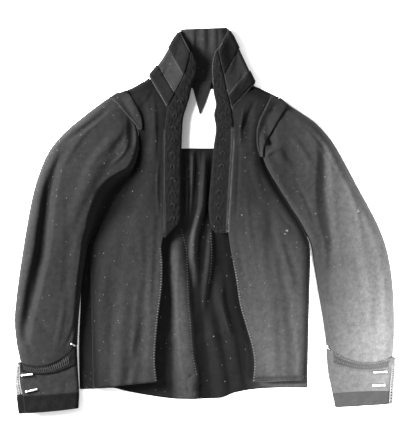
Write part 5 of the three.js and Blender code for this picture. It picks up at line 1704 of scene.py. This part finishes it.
class JACKET_OT_stitching(bpy.types.Operator):
    """Featherstitched seams, beaded edges and embroidered cuff trims"""

    bl_idname = "jacket.stitching"
    bl_label = "Stitching"

    def execute(self, context):
        given = sizes()
        radius = given["thread"] / 2
        self.edges(given["stitch"], radius)
        self.seams(given["featherstitch"], radius)
        self.collar_lines(given["featherstitch"], radius)
        self.cuff_trims(radius)
        return {"FINISHED"}

    def edges(self, pitch, radius):
        threads = Threads()
        for name, side, rows in (("left", LEFT, FRONT_LEFT), ("right", RIGHT, FRONT_RIGHT)):
            height = lies_on([f"front_{name}_cloth"])
            line = edge_line(rows, side, 0, 6, -0.6)
            beads_over(threads, line, height, pitch, -side, radius * 1.5, FRONT_LEVEL)
        skirt = lies_on(["skirt_cloth"])
        for line in SKIRT_SEAMS:
            beads_along(threads, line, skirt, pitch, radius * 1.4, 2.4, SKIRT_LEVEL)
        finish(threads.piece("stitching_edges"), FINISHES["stitches"])
        dark = Threads()
        front = lies_on(["front_right_cloth"])
        for line in FRONT_HEM_STITCHES:
            beads_along(dark, line, front, 2.6, radius * 1.5, 4.5, 17)
        finish(dark.piece("stitching_hem"), FINISHES["dark_stitches"])

    def seams(self, pitch, radius):
        parts = [
            ("left", LEFT, BAND_LEFT, 3.4, "dark_stitches"),
            ("right", RIGHT, BAND_RIGHT, 6, "stitches"),
        ]
        for name, side, rows, width, looks in parts:
            threads = Threads()
            height = lies_on([f"front_{name}_cloth", f"band_{name}_velvet"])
            keep = rows["outerY"] < 152
            line = np.stack([rows["outerX"][keep] + side * 0.5, rows["outerY"][keep]], axis=1)
            featherstitch(threads, line, height, pitch, width, radius, FRONT_LEVEL)
            finish(threads.piece(f"stitching_band_{name}"), FINISHES[looks])
        threads = Threads()
        for name, line in WING_SEAMS.items():
            height = lies_on([f"wing_{name}_cloth", f"front_{name}_cloth", f"sleeve_{name}_cloth"])
            featherstitch(threads, line, height, pitch * 0.8, 3.2, radius * 0.75, SHOULDER_LEVEL)
        finish(threads.piece("stitching_wings"), FINISHES["dark_stitches"])

    def collar_lines(self, pitch, radius):
        threads = Threads()
        names = [f"collar_velvet_{part}_{side}" for part in ("low", "top") for side in ("left", "right")]
        height = lies_on(["collar_cloth", *names])
        for level in COLLAR_STITCH_LEVELS:
            grid, _ = collar_grid([level, level + 0.001])
            for line in (grid[0, 1:STITCHED, :2], grid[0, -STITCHED:-1, :2]):
                beads_along(threads, line, height, pitch * 0.7, radius * 1.1, 2.2, SHOULDER_LEVEL)
        around = lies_on(["collar_cloth", "band_right_velvet", *names])
        beads_along(threads, COLLAR_CORD, around, pitch * 0.55, radius * 1.2, 2.0, SHOULDER_LEVEL)
        finish(threads.piece("stitching_collar"), FINISHES["stitches"])

    def cuff_trims(self, radius):
        for side, rows in (("left", CUFF_LEFT), ("right", CUFF_RIGHT)):
            threads = Threads()
            height = lies_on([f"cuff_{side}_trim"])
            lines = [cuff_grid(rows, [at], 0, 0)[0, 2:54, :2] for at in CUFF_TRIM_EDGES]
            shares = evened(lines)
            low, high = (paced(line, CUFF_STITCH_PITCH * share) for line, share in zip(lines, shares))
            for i in range(min(len(low), len(high)) - 1):
                for a, b in ((low[i], high[i + 1]), (high[i], low[i + 1])):
                    f = np.linspace(0, 1, 6)
                    x, y = mix(a[0], b[0], f), mix(a[1], b[1], f)
                    z = [height(px, py, CUFF_LEVEL) + radius * 0.8 for px, py in zip(x, y)]
                    threads.add(points(x, y, np.array(z)), radius)
            for line in lines:
                beads_along(threads, line, height, CUFF_STITCH_PITCH, radius * 1.1, 1.8, CUFF_LEVEL)
            finish(threads.piece(f"stitching_cuff_{side}"), FINISHES["dark_stitches"])


class JACKET_OT_lint(bpy.types.Operator):
    """Tufts of pale lint caught on the wool"""

    bl_idname = "jacket.lint"
    bl_label = "Lint"

    def execute(self, context):
        names = ["band_left_velvet", "band_right_velvet", "skirt_cloth"]
        for side in ("left", "right"):
            names += [f"front_{side}_cloth", f"sleeve_{side}_cloth", f"cuff_{side}_cloth"]
        height = lies_on(names)
        draw = np.random.default_rng(7)
        threads = Threads()
        for x, y, size in zip(*LINT.values()):
            for _ in range(4):
                way = draw.uniform(0, 2 * np.pi)
                bend = draw.uniform(-1.5, 1.5)
                f = np.linspace(-0.5, 0.5, 6)
                px = x + size * f * np.cos(way + bend * f)
                py = y + size * f * np.sin(way + bend * f)
                z = [height(a, b, CUFF_LEVEL) + 0.35 for a, b in zip(px, py)]
                threads.add(points(px, py, np.array(z)), size * 0.09)
        finish(threads.piece("lint_tufts"), FINISHES["lint"])
        return {"FINISHED"}


class JACKET_OT_stage(bpy.types.Operator):
    """Plain pale floor, soft light from the upper left and a camera straight above"""

    bl_idname = "jacket.stage"
    bl_label = "Stage"

    def execute(self, context):
        looks = context.scene.jacket_looks
        deselect()
        bpy.ops.mesh.primitive_plane_add(size=FLOOR_SIZE, location=(0, 0, 0))
        floor = context.object
        floor.name = "floor"
        material, tree, shader, place = new_material(
            "pale_floor", Roughness=0.9, Specular_IOR_Level=0.0, Emission_Strength=0.2
        )
        tones = mottled(tree, place.outputs["Object"], 0.97, 0.95, 0.4, 0.5)
        tree.links.new(tones, shader.inputs["Base Color"])
        tree.links.new(tones, shader.inputs["Emission Color"])
        floor.data.materials.append(material)
        self.light("window_light", KEY_PLACE, KEY_SIZE, looks.key_power)
        self.spot("side_lamp", SPOT_PLACE, looks.spot_power)
        sky = bpy.data.worlds.new("pale_room")
        sky.use_nodes = True
        sky.node_tree.nodes["Background"].inputs["Color"].default_value = grey(1.0)
        sky.node_tree.nodes["Background"].inputs["Strength"].default_value = looks.sky
        context.scene.world = sky
        context.scene.view_settings.view_transform = "Standard"
        self.camera(context.scene)
        return {"FINISHED"}

    def lamp(self, kind, name, place, aim, power):
        bpy.ops.object.light_add(type=kind, location=place)
        lamp = bpy.context.object
        lamp.name = name
        lamp.data.energy = power
        lamp.rotation_euler = (Vector(aim) - Vector(place)).to_track_quat("-Z", "Y").to_euler()
        return lamp

    def light(self, name, place, size, power):
        lamp = self.lamp("AREA", name, place, (0, 0, 0), power)
        lamp.data.shape = "RECTANGLE"
        lamp.data.size, lamp.data.size_y = size

    def spot(self, name, place, power):
        """A soft-edged lamp over the lower right-hand side, where the tone is palest."""
        lamp = self.lamp("SPOT", name, place, SPOT_AIM, power)
        lamp.data.spot_size = math.radians(SPOT_ANGLE)
        lamp.data.spot_blend = 1.0
        lamp.data.shadow_soft_size = SPOT_SOFTNESS

    def camera(self, scene):
        middle = to_frame(VIEW_MIDDLE)
        bpy.ops.object.camera_add(location=(middle[0], middle[1], CAMERA_HEIGHT), rotation=(0, 0, 0))
        camera = bpy.context.object
        camera.name = "camera"
        camera.data.sensor_fit = "VERTICAL"
        camera.data.sensor_height = 24
        camera.data.lens = camera.data.sensor_height * CAMERA_HEIGHT / VIEW_HEIGHT
        camera.data.clip_end = 100
        scene.camera = camera


class JACKET_PT_panel(bpy.types.Panel):
    """The jacket's sizes, finishes and pieces"""

    bl_idname = "JACKET_PT_panel"
    bl_label = "Jacket"
    bl_space_type = "VIEW_3D"
    bl_region_type = "UI"
    bl_category = "Jacket"

    def draw(self, context):
        for settings in (context.scene.jacket_sizes, context.scene.jacket_looks):
            box = self.layout.box()
            for name in settings.__annotations__:
                box.prop(settings, name)
        for piece in PIECES:
            self.layout.operator(piece.bl_idname)


PIECES = (
    JACKET_OT_back,
    JACKET_OT_skirt,
    JACKET_OT_fronts,
    JACKET_OT_sleeves,
    JACKET_OT_wings,
    JACKET_OT_collar,
    JACKET_OT_bands,
    JACKET_OT_fasteners,
    JACKET_OT_cuffs,
    JACKET_OT_clasps,
    JACKET_OT_lace,
    JACKET_OT_stitching,
    JACKET_OT_lint,
    JACKET_OT_stage,
)
CLASSES = (JacketSizes, JacketLooks, *PIECES, JACKET_PT_panel)


def register():
    for item in CLASSES:
        bpy.utils.register_class(item)
    bpy.types.Scene.jacket_sizes = bpy.props.PointerProperty(type=JacketSizes)
    bpy.types.Scene.jacket_looks = bpy.props.PointerProperty(type=JacketLooks)


def unregister():
    del bpy.types.Scene.jacket_looks
    del bpy.types.Scene.jacket_sizes
    for item in reversed(CLASSES):
        bpy.utils.unregister_class(item)


def main():
    register()
    make_finishes(bpy.context.scene.jacket_looks)
    for piece in PIECES:
        group, operation = piece.bl_idname.split(".")
        getattr(getattr(bpy.ops, group), operation)()


if __name__ == "__main__":
    main()
